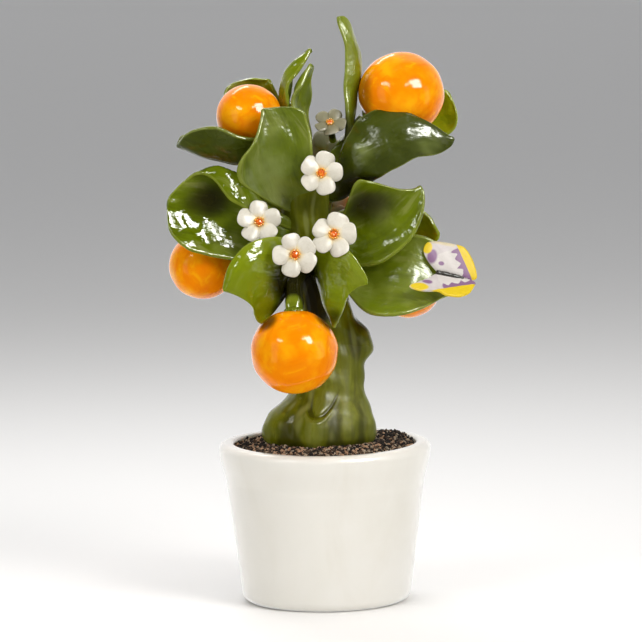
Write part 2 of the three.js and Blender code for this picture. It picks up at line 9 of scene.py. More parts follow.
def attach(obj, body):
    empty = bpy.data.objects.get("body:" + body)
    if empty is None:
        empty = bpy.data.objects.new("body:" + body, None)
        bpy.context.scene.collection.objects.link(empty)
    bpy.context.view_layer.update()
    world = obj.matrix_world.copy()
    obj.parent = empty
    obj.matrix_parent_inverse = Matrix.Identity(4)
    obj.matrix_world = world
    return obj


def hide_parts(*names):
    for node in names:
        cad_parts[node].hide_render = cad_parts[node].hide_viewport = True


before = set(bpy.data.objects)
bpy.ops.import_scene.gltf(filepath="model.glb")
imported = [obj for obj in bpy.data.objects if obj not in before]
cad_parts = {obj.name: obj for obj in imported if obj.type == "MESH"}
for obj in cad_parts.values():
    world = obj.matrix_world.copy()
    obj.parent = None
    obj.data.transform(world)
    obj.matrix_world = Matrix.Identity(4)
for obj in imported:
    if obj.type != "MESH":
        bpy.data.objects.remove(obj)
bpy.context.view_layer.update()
mm = 0.001  # shapes are worked out in millimetres, and meshes are made in metres
fullTurn = 2 * math.pi


# Curves, surfaces and pieces


# Unit vectors: each vector over its own length.
def unit(vectors):
    return vectors / np.linalg.norm(vectors, axis=-1, keepdims=True)


# A smooth step from 0 at the low value to 1 at the high one: three squares less two cubes.
def smoothStep(values, low, high):
    share = np.clip((values - low) / (high - low), 0, 1)
    return share * share * (3 - 2 * share)


def bell(distance, spread):
    return np.exp(-((distance / spread) ** 2))


# A bell with a flat top.
def bluntBell(distance, spread):
    return np.exp(-((distance / spread) ** 4))


# Even turns once round, in radians.
def roundTurns(count):
    return np.arange(count) * fullTurn / count


# Even tilts from pole to pole, without the poles.
def polarTilts(count):
    return np.linspace(0, math.pi, count + 2)[1:-1]


# Two lists as full grids: the first runs down the rows, the second along them.
def grid(rows, columns):
    return np.meshgrid(rows, columns, indexing="ij")


# Rings about +Z, from a radius, a turn and a height at each point.
def roundRings(radius, turn, height):
    return np.stack(np.broadcast_arrays(radius * np.cos(turn), radius * np.sin(turn), height), -1)


# A centripetal Catmull-Rom curve: between two points a cubic, whose slope at each end weighs the
# chords on its two sides by the square roots of their lengths. Shares run from 0 to 1.
def curveAt(points, shares, shortest=1e-4):
    points = np.array(points, float)
    if len(points) == 1:
        points = np.repeat(points, 2, axis=0)
    ends = np.vstack([2 * points[0] - points[1], points, 2 * points[-1] - points[-2]])
    place = np.clip(shares, 0, 1) * (len(points) - 1)
    index = np.minimum(place.astype(int), len(points) - 2)
    w = (place - index)[:, None]
    p0, p1, p2, p3 = (ends[index + k] for k in range(4))
    chords = (p1 - p0, p2 - p1, p3 - p2)
    d0, d1, d2 = (np.sqrt(np.linalg.norm(chord, axis=1))[:, None] for chord in chords)
    d1 = np.where(d1 < shortest, 1, d1)
    d0 = np.where(d0 < shortest, d1, d0)
    d2 = np.where(d2 < shortest, d1, d2)
    s1 = ((p1 - p0) / d0 - (p2 - p0) / (d0 + d1) + (p2 - p1) / d1) * d1
    s2 = ((p2 - p1) / d1 - (p3 - p1) / (d1 + d2) + (p3 - p2) / d2) * d1
    return p1 + s1 * w + (3 * (p2 - p1) - 2 * s1 - s2) * w**2 + (2 * (p1 - p2) + s1 + s2) * w**3


# The curve's direction: the chord over a very short step on both sides.
def directionAt(points, shares, step=1e-4):
    ahead = curveAt(points, np.clip(shares + step, 0, 1))
    behind = curveAt(points, np.clip(shares - step, 0, 1))
    return unit(ahead - behind)


# A hand-made surface's slow swells, between about -1 and 1: a few sine waves across space, each with
# its own direction and phase, whose lengths lie round the given one.
def swells(points, length, seed, waves=6, peak=2.4):
    rng = np.random.default_rng(seed)
    headings = unit(rng.normal(size=(waves, 3)))
    phases = rng.uniform(0, fullTurn, waves)
    total = np.zeros(points.shape[:-1])
    for heading, phase, stretch in zip(headings, phases, rng.uniform(0.7, 1.5, waves)):
        total += np.sin(points @ heading * fullTurn / (length * stretch) + phase)
    return total / peak


# Faces of a closed surface made of rings of points, shut by a fan at a pole at each end.
# The two poles are the points after the last ring.
def ringFaces(rings, around):
    turn = np.arange(around)
    over = np.roll(turn, -1)
    starts = (np.arange(rings - 1) * around)[:, None]
    quads = np.stack([starts + turn, starts + over, starts + around + over, starts + around + turn], -1)
    first = rings * around
    last = (rings - 1) * around
    bottom = np.stack([np.full(around, first), over, turn], -1)
    top = np.stack([np.full(around, first + 1), last + turn, last + over], -1)
    return quads.reshape(-1, 4), np.vstack([bottom, top])


# The rings' points in one list, with their two poles, each at the middle of its ring unless given.
def withPoles(rings, poles=None):
    ends = poles if poles is not None else [rings[0].mean(0), rings[-1].mean(0)]
    return np.vstack([rings.reshape(-1, rings.shape[-1]), ends])


# Six times the volume inside the faces: the sum of each triangle's triple product with the origin.
def insideOf(points, quads, triangles):
    threes = np.vstack([quads[:, [0, 1, 2]], quads[:, [0, 2, 3]], triangles])
    a, b, c = (points[threes[:, k]] for k in range(3))
    return np.einsum("ij,ij->", a, np.cross(b, c))


paintedShadeSpots = [
    # place, reach along x, y and z, share: painted shade in the recesses under leaves and flowers, where
    # shade falls
    ((-14.5, -24, 168), (15.5, 21, 17), 1.0), ((-60, -14, 208), (18, 9, 12), 0.9),
    ((-29, -47, 149), (7, 8, 5.5), 0.95), ((3, -42, 149), (8.5, 10, 6.5), 0.95),
    ((21.5, -8, 257), (6.5, 10, 17), 0.6), ((23, -14, 208), (19, 13, 16), 0.9),
    ((-3, -13, 155), (9, 7, 14), 0.9), ((4.5, -3, 244), (14, 10, 12), 0.9),
    ((-4, -8, 204), (12, 9, 9), 0.3), ((20.5, -5, 142.5), (6, 7, 5), 0.4), ((-14, -30, 152), (15, 7, 8), 0.9),
]


# How deep in painted shade each point lies: a blunt bell of its distance over the shaded spot's reach.
def paintedShadeAt(points):
    depths = []
    for place, reach, share in paintedShadeSpots:
        depths.append(share * bluntBell(np.linalg.norm((points - place) / reach, axis=1), 1))
    return np.maximum.reduce(depths)


def addObject(name, data):
    made = bpy.data.objects.new(name, data)
    bpy.context.scene.collection.objects.link(made)
    return made


# Makes the mesh, turns its faces outwards, and gives it its place on the tree.
def addPiece(name, points, quads, triangles, material, slot, nodes=(), uv=None, marks=None):
    if insideOf(points, quads, triangles) < 0:
        quads, triangles = quads[:, ::-1], triangles[:, ::-1]
    mesh = bpy.data.meshes.new(name)
    mesh.from_pydata((points * mm).tolist(), [], quads.tolist() + triangles.tolist())
    mesh.shade_smooth()
    if uv is not None:
        corners = np.empty(len(mesh.loops), np.int64)
        mesh.loops.foreach_get("vertex_index", corners)
        mesh.uv_layers.new(name="along").data.foreach_set("uv", uv[corners].ravel())
    # every piece carries the painted shade mark
    for mark, values in {"hollow": paintedShadeAt(points), **(marks or {})}.items():
        mesh.attributes.new(mark, "FLOAT", "POINT").data.foreach_set("value", values.astype(np.float32))
    mesh.materials.append(material)
    piece = addObject(name, mesh)
    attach(piece, "root")
    if nodes:
        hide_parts(*nodes)


# A piece made of one set of rings, shut at its two poles.
def addRings(name, rings, material, slot, nodes=(), uv=None, marks=None, poles=None):
    addPiece(name, withPoles(rings, poles), *ringFaces(*rings.shape[:2]), material, slot, nodes, uv, marks)


# Glazes


# A node with its settings. A socket gets a value, or a link where another node's output is given.
def addNode(tree, kind, sockets=None, **settings):
    made = tree.nodes.new("ShaderNode" + kind)
    for key, value in settings.items():
        setattr(made, key, value)
    for socket, value in (sockets or {}).items():
        if isinstance(value, bpy.types.NodeSocket):
            tree.links.new(value, made.inputs[socket])
        else:
            made.inputs[socket].default_value = value
    return made


def noiseOf(tree, place, scale, detail, roughness=0.5, distortion=0.0):
    sockets = {"Vector": place, "Scale": scale, "Detail": detail, "Roughness": roughness}
    return addNode(tree, "TexNoise", {**sockets, "Distortion": distortion}).outputs["Fac"]


# A smooth mask: nothing at the low value, and the whole share at the high one.
def maskOf(tree, value, low, high, share=1.0):
    sockets = {"Value": value, "From Min": low, "From Max": high, "To Max": share}
    return addNode(tree, "MapRange", sockets, interpolation_type="SMOOTHSTEP").outputs["Result"]


def worked(tree, operation, *values):
    return addNode(tree, "Math", dict(enumerate(values)), operation=operation).outputs[0]


def mixed(tree, share, first, second):
    return addNode(tree, "Mix", {"Factor": share, 6: first, 7: second}, data_type="RGBA").outputs[2]


def markOf(tree, mark):
    return addNode(tree, "Attribute", attribute_name=mark).outputs["Fac"]


# A new material, its node tree and its shader's sockets.
def addMaterial(name):
    material = bpy.data.materials.new(name)
    material.use_nodes = True
    return material, material.node_tree, material.node_tree.nodes["Principled BSDF"].inputs


# A shared effect: its inputs and outputs are named by their kind.
def addGroup(name, inputs, outputs):
    group = bpy.data.node_groups.new(name, "ShaderNodeTree")
    for way, sockets in (("INPUT", inputs), ("OUTPUT", outputs)):
        for kind, names in sockets.items():
            for socket in names:
                group.interface.new_socket(name=socket, in_out=way, socket_type="NodeSocket" + kind)
    return group, group.nodes.new("NodeGroupInput").outputs, group.nodes.new("NodeGroupOutput").inputs


# Brushed colour: pale clouds over the main colour, and streaks of the deep one along the brush.
def brushedColourGroup():
    floats = ["cloudScale", "clouds", "streaks", "strokes"]
    group, given, made = addGroup(
        "brushed colour",
        {"Vector": ["place", "brush"], "Color": ["deep", "main", "pale"], "Float": floats},
        {"Color": ["colour"], "Float": ["streak"]},
    )
    clouds = noiseOf(group, given["place"], given["cloudScale"], 3, 0.55)
    streaks = noiseOf(group, given["brush"], 1, 4, 0.6, 0.4)
    masks = {
        "clouds": (clouds, 0.45, 0.72), "streaks": (streaks, 0.48, 0.75), "strokes": (streaks, 0.46, 0.30),
    }
    shares = {key: worked(group, "MULTIPLY", maskOf(group, *mask), given[key]) for key, mask in masks.items()}
    pale = worked(group, "MAXIMUM", shares["clouds"], shares["strokes"])
    colour = mixed(group, pale, given["main"], given["pale"])
    colour = mixed(group, shares["streaks"], colour, given["deep"])
    group.links.new(colour, made["colour"])
    group.links.new(streaks, made["streak"])
    return group


# Fired glaze: its height runs in slow ripples with a fine skin over them, and the ripples dull it.
def firedSkinGroup():
    inputs = {"Vector": ["place"], "Float": ["rippleScale", "skinScale", "skin", "roughness", "dullness"]}
    group, given, made = addGroup("fired skin", inputs, {"Float": ["height", "dull"]})
    ripples = noiseOf(group, given["place"], given["rippleScale"], 2, 0.45)
    skin = noiseOf(group, given["place"], given["skinScale"], 1)
    dull = worked(group, "MULTIPLY_ADD", ripples, given["dullness"], given["roughness"])
    group.links.new(worked(group, "MULTIPLY_ADD", skin, given["skin"], ripples), made["height"])
    group.links.new(dull, made["dull"])
    return group


brushedColour = brushedColourGroup()
firedSkin = firedSkinGroup()


# A shared effect in a material: its sockets take what the look says under their own names.
def addEffect(tree, group, look, linked):
    effect = addNode(tree, "Group", linked, node_tree=group)
    for socket in effect.inputs:
        if socket.name in look:
            value = look[socket.name]
            socket.default_value = (*value, 1) if socket.type == "RGBA" else value
    return effect.outputs


# A glazed finish: brushed colour, with the strokes and the fired skin as bump, tinted and dulled by
# the marks on the mesh. The brush runs along the UV map where there is one, and up the piece otherwise.
def glazed(name, look):
    material, tree, shader = addMaterial(name)
    shader["Specular IOR Level"].default_value = look["gleam"]
    place = addNode(tree, "TexCoord").outputs
    along = place["UV" if look["byUv"] else "Object"]
    brush = addNode(tree, "Mapping", {"Vector": along, "Scale": look["brushScale"]}).outputs["Vector"]
    brushed = addEffect(tree, brushedColour, look, {"place": place["Object"], "brush": brush})
    skin = addEffect(tree, firedSkin, look, {"place": place["Object"]})
    height = worked(tree, "MULTIPLY_ADD", brushed["streak"], look["strokeBump"], skin["height"])
    bump = addNode(tree, "Bump", {"Strength": look["bump"], "Distance": look["bumpDistance"]})
    tree.links.new(height, bump.inputs["Height"])
    colour = brushed["colour"]
    # some marks are the glaze's own colours, others are painted shade, painted highlight and painted sheen
    for mark, tint, low, high, share in look["marks"]:
        colour = mixed(tree, maskOf(tree, markOf(tree, mark), low, high, share), colour, (*tint, 1))
    tree.links.new(colour, shader["Base Color"])
    tree.links.new(bump.outputs["Normal"], shader["Normal"])
    dull = worked(tree, "MULTIPLY_ADD", markOf(tree, "matt"), look["matt"], skin["dull"])
    tree.links.new(dull, shader["Roughness"])
    return material


# What a look doesn't say is taken from here.
usualLook = dict(
    clouds=0.6, streaks=0.4, strokes=0.3, byUv=False, skinScale=900, skin=0.2, roughness=0.15, dullness=0.1,
    bump=0.3, bumpDistance=0.0006, strokeBump=0.1, gleam=0.5, matt=0, marks=(),
)
# painted shade: near-black in the shaded cavities round the limbs and the trunk
limbPaintedShade = ("hollow", (0.012, 0.009, 0.001), 0.05, 0.7, 0.97)
looks = {
    # a mark tints the glaze: its name, the tint, where it starts and is full, and its share
    "potGlaze": dict(
        deep=(0.70, 0.66, 0.56), main=(0.83, 0.81, 0.75), pale=(0.88, 0.86, 0.82), cloudScale=18,
        streaks=0.25, strokes=0.2, brushScale=(30, 30, 12), rippleScale=45, skinScale=500, skin=0.12,
        roughness=0.16, bump=0.2, bumpDistance=0.001,
    ),
    "leafGlaze": dict(
        deep=(0.035, 0.046, 0.0008), main=(0.108, 0.148, 0.0012), pale=(0.235, 0.255, 0.065), cloudScale=38,
        streaks=0.6, strokes=0.6, brushScale=(0.4, 1.5, 1), byUv=True, rippleScale=120, skinScale=420,
        skin=0.1, roughness=0.03, dullness=0.08, bump=0.6, bumpDistance=0.002, strokeBump=0.45, matt=0.45,
        marks=[
            # per-leaf tone, darker below zero and lighter above: partly each leaf's own glaze, partly painted
            # light and shade
            ("tone", (0.028, 0.036, 0.0008), 0.0, -1.0, 0.9),
            ("tone", (0.23, 0.29, 0.004), 0.0, 1.0, 0.8),
            # painted sheen: pale patches standing for soft reflections
            ("milk", (0.19, 0.235, 0.05), 0.1, 1.0, 0.75),
            # a pale rim along the leaf's edge: thinner glaze and a painted highlight
            ("edge", (0.26, 0.30, 0.035), 0.98, 1.0, 0.4),
            # painted shade where other leaves and flowers shade the leaf
            ("hollow", (0.010, 0.006, 0.0008), 0.05, 0.9, 0.95),
        ],
    ),
    "barkGlaze": dict(
        deep=(0.05, 0.046, 0.001), main=(0.114, 0.126, 0.0015), pale=(0.21, 0.225, 0.015), cloudScale=70,
        clouds=0.8, streaks=0.75, strokes=0.7, brushScale=(130, 130, 30), rippleScale=90, skinScale=420,
        skin=0.1, dullness=0.16, bump=0.45, bumpDistance=0.0015, strokeBump=0.18, gleam=0.2, matt=0.25,
        marks=[
            # pooled glaze and painted shade darken the valleys, pit, groove and the foot at the soil; thin
            # glaze and painted highlight lighten the ridges and the lip
            ("valley", (0.03, 0.028, 0.002), 0.3, 1.6, 0.7),
            ("valley", (0.20, 0.22, 0.04), -0.2, -1.1, 0.4),
            # painted sheen: pale streaks standing for soft reflections
            ("milk", (0.235, 0.25, 0.06), 0.15, 1.0, 0.75),
            limbPaintedShade,
        ],
    ),
    "stalkGlaze": dict(
        deep=(0.06, 0.065, 0.002), main=(0.16, 0.205, 0.006), pale=(0.29, 0.34, 0.03), cloudScale=90,
        brushScale=(160, 160, 60), rippleScale=220, skinScale=700, skin=0.15, roughness=0.08, bump=0.4,
        bumpDistance=0.0008, marks=[limbPaintedShade],
    ),
    "fruitGlaze": dict(
        deep=(0.82, 0.17, 0.0005), main=(0.88, 0.245, 0.0006), pale=(0.96, 0.44, 0.004), cloudScale=60,
        clouds=0.8, streaks=0.75, strokes=0.65, brushScale=(5.0, 1.4, 1), byUv=True, rippleScale=110,
        skin=0.05, roughness=0.05, dullness=0.06, bumpDistance=0.0008, gleam=0.2,
        marks=[
            ("crown", (0.35, 0.12, 0.002), 0.25, 1.0, 0.8),
            # painted shade: brown where leaves and leaf tips shade the fruit
            ("hollow", (0.09, 0.03, 0.001), 0.05, 0.95, 0.96),
        ],
    ),
    "petalGlaze": dict(
        deep=(0.54, 0.50, 0.36), main=(0.665, 0.63, 0.54), pale=(0.74, 0.70, 0.62), cloudScale=160,
        clouds=0.7, brushScale=(1.5, 5, 1), byUv=True, rippleScale=240, roughness=0.3, dullness=0.12,
        bump=0.35, gleam=0.22,
        marks=[
            ("throat", (0.80, 0.62, 0.22), 0.62, 1.0, 0.8),
            # painted shade on petals that lie in shade
            ("hollow", (0.13, 0.12, 0.045), 0.05, 0.9, 0.85),
        ],
    ),
    "heartGlaze": dict(
        deep=(0.42, 0.03, 0.003), main=(0.70, 0.115, 0.008), pale=(0.84, 0.33, 0.03), cloudScale=420,
        clouds=0.9, streaks=0.7, strokes=0.4, brushScale=(500, 500, 500), rippleScale=400, skinScale=1500,
        bump=0.4,
    ),
    "stamenGlaze": dict(
        deep=(0.72, 0.17, 0.015), main=(0.84, 0.38, 0.05), pale=(0.9, 0.62, 0.2), cloudScale=500, clouds=0.9,
        streaks=0.5, brushScale=(400, 400, 400), rippleScale=400, skinScale=1500, bumpDistance=0.0004,
    ),
    "wingGlaze": dict(
        deep=(0.50, 0.45, 0.42), main=(0.60, 0.56, 0.53), pale=(0.66, 0.63, 0.60), cloudScale=150, clouds=0.7,
        streaks=0.3, brushScale=(2, 6, 1), byUv=True, rippleScale=200, roughness=0.4, bump=0.35, gleam=0.12,
        marks=[
            ("straw", (0.66, 0.56, 0.24), 0.0, 0.6, 0.6),
            ("purple", (0.19, 0.075, 0.20), -0.1, 0.35, 0.9),
            ("yellow", (0.70, 0.51, 0.006), -0.05, 0.4, 0.97),
        ],
    ),
    "bodyGlaze": dict(
        deep=(0.01, 0.009, 0.008), main=(0.03, 0.028, 0.022), pale=(0.09, 0.085, 0.07), cloudScale=300,
        brushScale=(300, 300, 300), rippleScale=300, roughness=0.25, bumpDistance=0.0004, gleam=0.2,
    ),
}
glazes = {name: glazed(name, {**usualLook, **look}) for name, look in looks.items()}


grainLook = {"roughness": 0.9, "gleam": 0.15, "speckleScale": 900, "detail": 3}


# A matt grain of soil, a little uneven in colour.
def grainFinish(name, dark, light):
    material, tree, shader = addMaterial(name)
    shader["Roughness"].default_value = grainLook["roughness"]
    shader["Specular IOR Level"].default_value = grainLook["gleam"]
    place = addNode(tree, "TexCoord").outputs["Object"]
    speckle = noiseOf(tree, place, grainLook["speckleScale"], grainLook["detail"])
    tree.links.new(mixed(tree, speckle, (*dark, 1), (*light, 1)), shader["Base Color"])
    return material


print("glazes made:", len(glazes))


# Makes every piece of a kind from its table, each with a seed of its own.
def makeAll(kind, make, table, firstSeed):
    for seed, (name, piece) in enumerate(table.items(), firstSeed):
        make(name, piece, seed)
    print(kind, "made:", len(table))


# Pot

pot = {
    "height": 82, "rimRadius": 54.4, "footRadius": 43.5, "wallTopRadius": 50.6, "collarDepth": 22,
    "collarBlend": 15, "coneStart": 2, "coneShare": 0.55, "wall": 7, "footRound": 5, "lipRound": 3.6,
    "innerLipRound": 2, "innerRadius": 46.6, "innerTaper": 0.4, "innerTop": 75, "floorFlat": 30, "pole": 2,
    "segments": 180, "wobble": 0.12, "wobbles": 3, "wobbleTwist": 0.05, "wobbleHeights": (4, 20),
    "wobbleRadii": (30, 45), "frontDip": 1.2, "dipFrom": 60, "dipInside": 40,
}


# Points of an arc about a centre, between two angles in degrees.
def arc(centre, radius, start, end, steps):
    turn = np.radians(np.linspace(start, end, steps))
    return np.column_stack([centre[0] + radius * np.cos(turn), centre[1] + radius * np.sin(turn)])


# Turned wall: the radius grows evenly with height, and more steeply, as a cone and a soft step, in
# the collar. The whole profile is turned about the axis, with the slow inward wobble of a hand-thrown
# pot, and the rim dips a little towards the front.
def makePot():
    p = pot
    lip, innerLip, foot, top = p["lipRound"], p["innerLipRound"], p["footRound"], p["height"]
    collarFoot = top - p["collarDepth"]
    heights = np.linspace(foot, top - lip, 70)
    wall = np.interp(heights, [foot, collarFoot], [p["footRadius"], p["wallTopRadius"]])
    cone = np.interp(heights, [collarFoot + p["coneStart"], top - lip], [0, p["coneShare"]])
    step = (1 - p["coneShare"]) * smoothStep(heights, collarFoot, collarFoot + p["collarBlend"])
    swelling = (cone + step) * (p["rimRadius"] - p["wallTopRadius"])
    inner = [(p["innerRadius"] - p["innerTaper"], p["innerTop"]), (p["footRadius"] - p["wall"], p["wall"])]
    profile = np.vstack([
        np.linspace((p["pole"], 0), (p["footRadius"] - foot, 0), 12)[:-1],
        arc((p["footRadius"] - foot, foot), foot, -90, 0, 10)[:-1],
        np.column_stack([wall + swelling, heights]),
        arc((p["rimRadius"] - lip, top - lip), lip, 0, 90, 12)[1:],
        arc((p["innerRadius"] + innerLip, top - innerLip), innerLip, 90, 180, 8),
        np.linspace(*inner, 12),
        np.linspace((p["floorFlat"], p["wall"]), (p["pole"], p["wall"]), 5),
    ])
    radius, height = profile[:, :1], profile[:, 1:]
    turn = roundTurns(p["segments"])
    wobble = p["wobble"] * np.minimum(np.sin(p["wobbles"] * turn + p["wobbleTwist"] * height), 0)
    wobble = wobble * smoothStep(height, *p["wobbleHeights"]) * smoothStep(radius, *p["wobbleRadii"])
    dip = p["frontDip"] * np.maximum(-np.sin(turn), 0) ** 2 * smoothStep(height, p["dipFrom"], top)
    dip = dip * smoothStep(radius, p["dipInside"], p["innerRadius"])
    rings = roundRings(radius + wobble, turn, height - dip)
    addRings("pot_glazed", rings, glazes["potGlaze"], "pot_glaze", ["pot"])


makePot()
print("pot made")


# Trunk

trunk = {
    # height, centre x, centre y, radius
    "stations": [
        (78, -2.5, -1, 26.4), (90, -2.5, -1, 27.2), (98, -1.5, -1, 25), (107, 1.5, 0, 19.6),
        (120, 3.5, 0, 17.4), (134, 3, 0, 15.6), (150, 1.5, 0, 13.6), (168, -2.5, 0, 12.8),
        (186, -6.5, 0, 12.4), (202, -8, 0, 12.6), (214, -6, 0, 13), (222, -4.5, 0, 11), (227, -4, 0, 6.5),
    ],
    # angle round the trunk, height of the root lobe, its spread
    "lobes": [(200, 5.2, 20), (264, 3.4, 19), (304, 1.6, 15), (338, 4.8, 20), (48, 3.2, 17), (128, 3.2, 17)],
    "lobeMean": 1.8, "lobeTop": 112, "lobeFullness": 1.6, "soilLevel": 80, "footRound": 2.8,
    "footHeight": 6, "ridges": 9, "ridgeDepth": 0.3, "ridgeTwist": 1.5, "fineRidges": 23, "fineDepth": 0.06,
    "levels": 220, "around": 200, "furrow": 0.6, "fineAbove": 0.6, "fineBelow": 0.8,
    # how far the fine ridges wander: degrees, height and turns of each wave
    "wander": [(84, 17, 2), (54, 7.3, 5)],
    # swells outwards: height, length, and the share of it that counts upwards
    "swells": [(0.5, 17, 1), (0.16, 6, 0.5)], "upSwelling": 0.5, "upLength": 22, "topFade": 0.95,
}
# how much pooled glaze and painted shade darken a valley, the pit and the groove, painted highlight and thin
# glaze lighten the lip, and painted contact shade darkens the soil's edge
barkShade = {"valley": 1.6, "pit": 0.5, "groove": 1.5, "lip": 0.8, "foot": 1.4, "soilShadeFrom": 89, "soilShadeTo": 80}
knob = {"angle": 352, "height": 134, "reach": 6.4, "wide": 25, "tall": 9.5}
pit = {"spot": (340, 140.5, 11, 4.6), "depth": 0.8}  # the dark end of the cut branch
crescent = {
    "angle": 265, "height": 97.5, "stretch": 0.4, "reach": 8, "depth": 1.4, "thick": 1.7,
    "leftThicker": 1.25, "slope": 0.05, "bend": 0.14, "lip": 0.5, "lipBelow": 3, "lipThick": 1.4,
}
mattBark = {"angle": 310, "height": 102, "wide": 42, "tall": 26}
# painted sheen, pale streaks standing for soft reflections on the bark: angle, height, spread round, spread
# up, share
milk = [
    (268, 194, 7, 10, 0.8), (286, 204, 6, 8, 0.6), (243, 101, 7, 12, 1.0), (298, 106, 6, 10, 0.5),
    (284, 88, 5, 5, 0.5), (318, 134, 6, 16, 0.6), (326, 98, 5, 10, 0.6), (222, 100, 5, 9, 0.5),
]


# The short way round between two angles in degrees.
def gapBetween(a, b):
    return np.abs((a - b + 540) % 360 - 180)


# A bell-shaped spot on the bark about an angle and a height.
def spotAt(angle, height, middle, level, wide, tall):
    return bell(gapBetween(angle, middle), wide) * bell(height - level, tall)


# A smile-shaped groove and the lip below it, each a bell about a parabola, fading out at both ends
# and stronger on the left.
def crescentAt(angle, height):
    c = crescent
    aside = ((angle - c["angle"] + 180) % 360 - 180) * c["stretch"]
    fold = height - c["height"] - c["bend"] * aside**2
    span = bluntBell(aside, c["reach"]) * (1 - c["slope"] * aside)
    groove = bell(fold, c["thick"] * (c["leftThicker"] - c["slope"] * aside)) * span
    return groove, bell(fold + c["lipBelow"], c["lipThick"]) * span


# How far the bark stands out at an angle and a height: bells for the root lobes and the cut branch,
# cosine ridges that twist upwards, finer ones that wander, and a smile-shaped groove above the roots.
def barkRelief(angle, height):
    t = trunk
    flare = np.clip((t["lobeTop"] - height) / (t["lobeTop"] - t["soilLevel"]), 0, 1)
    foot = np.clip((t["soilLevel"] + t["footHeight"] - height) / t["footHeight"], 0, 1)
    lobes = sum(tall * bell(gapBetween(angle, at), spread) for at, tall, spread in t["lobes"])
    relief = (lobes - t["lobeMean"]) * np.minimum(1, flare * t["lobeFullness"]) - t["footRound"] * foot**2
    relief = relief + t["ridgeDepth"] * np.cos(np.radians(angle * t["ridges"] + height * t["ridgeTwist"]))
    drift = sum(far * np.sin(height / tall + np.radians(angle * turns)) for far, tall, turns in t["wander"])
    fine = np.cos(np.radians(angle * t["fineRidges"] + drift))
    fine = fine - t["furrow"] * np.maximum(-fine, 0) ** 3
    relief = relief + t["fineDepth"] * fine * (t["fineAbove"] + t["fineBelow"] * flare)
    stub = bell(gapBetween(angle, knob["angle"]), knob["wide"])
    relief = relief + knob["reach"] * stub * bluntBell(height - knob["height"], knob["tall"])
    relief = relief - pit["depth"] * spotAt(angle, height, *pit["spot"])
    groove, lip = crescentAt(angle, height)
    return relief - crescent["depth"] * groove + crescent["lip"] * lip


# The trunk: rings about its leaning centre line, whose radius is the girth and the bark's relief,
# with slow swells. Its marks are pooled glaze with painted shade in the valleys, painted highlight on the
# ridges and lip, the painted sheen and the matt place.
def makeTrunk():
    t, shade = trunk, barkShade
    levels = np.linspace(0, 1, t["levels"])
    stations = np.array(t["stations"])
    centres = curveAt(stations[:, [1, 2, 0]], levels)[:, None]
    height = centres[..., 2]
    angle = np.arange(t["around"]) * 360 / t["around"]
    relief = barkRelief(angle, height)
    fade = smoothStep(levels, 1, t["topFade"])[:, None]
    reach = curveAt(stations[:, [3, 0]], levels)[:, :1] + relief * fade
    outward = roundRings(1.0, np.radians(angle), 0.0)
    rings = centres + outward * reach[..., None]
    for seed, (swelling, length, upright) in enumerate(t["swells"], 3):
        rings = rings + outward * (swelling * swells(rings * (1, 1, upright), length, seed) * fade)[..., None]
    rise = t["upSwelling"] * swells(rings, t["upLength"], 5)
    rings[..., 2] += rise * fade * smoothStep(levels, 0, 0.1)[:, None]
    smooth = sum(np.roll(relief, shift, 1) for shift in (-12, -6, 0, 6, 12)) / 5
    groove, lip = crescentAt(angle, height)
    # pooled glaze and painted shade in the valleys, groove and pit, painted highlight on the lip, and painted
    # contact shade at the soil
    valley = (smooth - relief) * shade["valley"] + shade["groove"] * groove - shade["lip"] * lip
    valley = valley + shade["pit"] * pit["depth"] * spotAt(angle, height, *pit["spot"])
    valley = valley + shade["foot"] * smoothStep(height, shade["soilShadeFrom"], shade["soilShadeTo"])
    # painted sheen: pale streaks standing for soft reflections, a little uneven
    pale = sum(share * spotAt(angle, height, *spot) for *spot, share in milk)
    pale = pale * (1 + 0.5 * swells(rings * (1, 1, 0.3), 4, 9))
    matt = bluntBell(gapBetween(angle, mattBark["angle"]), mattBark["wide"])
    matt = matt * bluntBell(height - mattBark["height"], mattBark["tall"])
    marks = {"valley": valley, "milk": pale, "matt": matt}
    marks = {mark: np.append(values, [0, 0]) for mark, values in marks.items()}
    addRings("trunk_bark", rings, glazes["barkGlaze"], "bark_glaze", ["trunk"], marks=marks)


makeTrunk()
print("trunk made")


# Boughs and fruit stalks

limbs = {
    "bough_right": dict(line=[(-1, 0, 208), (11, 3, 228), (24, 4, 246)], girth=(7.5, 5)),
    "bough_left": dict(line=[(-8, 1, 208), (-16, 3, 228), (-26, 1, 241)], girth=(7.5, 4.6)),
    "stalk_front": dict(line=[(-7, -6, 172), (-14, -24, 167), (-14.5, -38, 148)], girth=(5, 3.4), bud=0.3),
    "stalk_left": dict(line=[(-8, 0, 186), (-34, -1, 188), (-56, -3, 182)], girth=(4.6, 3.4)),
    "stalk_right": dict(line=[(-2, 2, 168), (20, 4, 170), (36, 1, 165)], girth=(4.6, 3.6)),
    "stalk_back_left_high": dict(line=[(-6, 4, 212), (-14, 13, 217), (-22, 20, 222)], girth=(4.6, 3.6)),
    "stalk_back_low": dict(line=[(0, 4, 172), (2, 24, 176), (3, 38, 164)], girth=(4.8, 3.6)),
    "stalk_back_right": dict(line=[(-4, 4, 190), (12, 16, 192), (24, 27, 195)], girth=(4.6, 3.4)),
    "stalk_back_left_low": dict(line=[(-5, 4, 186), (-20, 20, 192), (-34, 31, 189)], girth=(4.6, 3.4)),
}
limbShape = {
    "rings": 60, "around": 40, "flutes": 5, "fluteDepth": 0.25, "fluteTwist": 3, "swelling": 0.25,
    "swellLength": 11,
}
# the bud: where it swells along the stalk (share, spread), and the spot spared from the stalk's painted shade
# (at, reach)
bud = {"at": (-14.8, -38, 154.5), "reach": (5.6, 12, 7.6), "share": 0.84, "spread": 0.16}


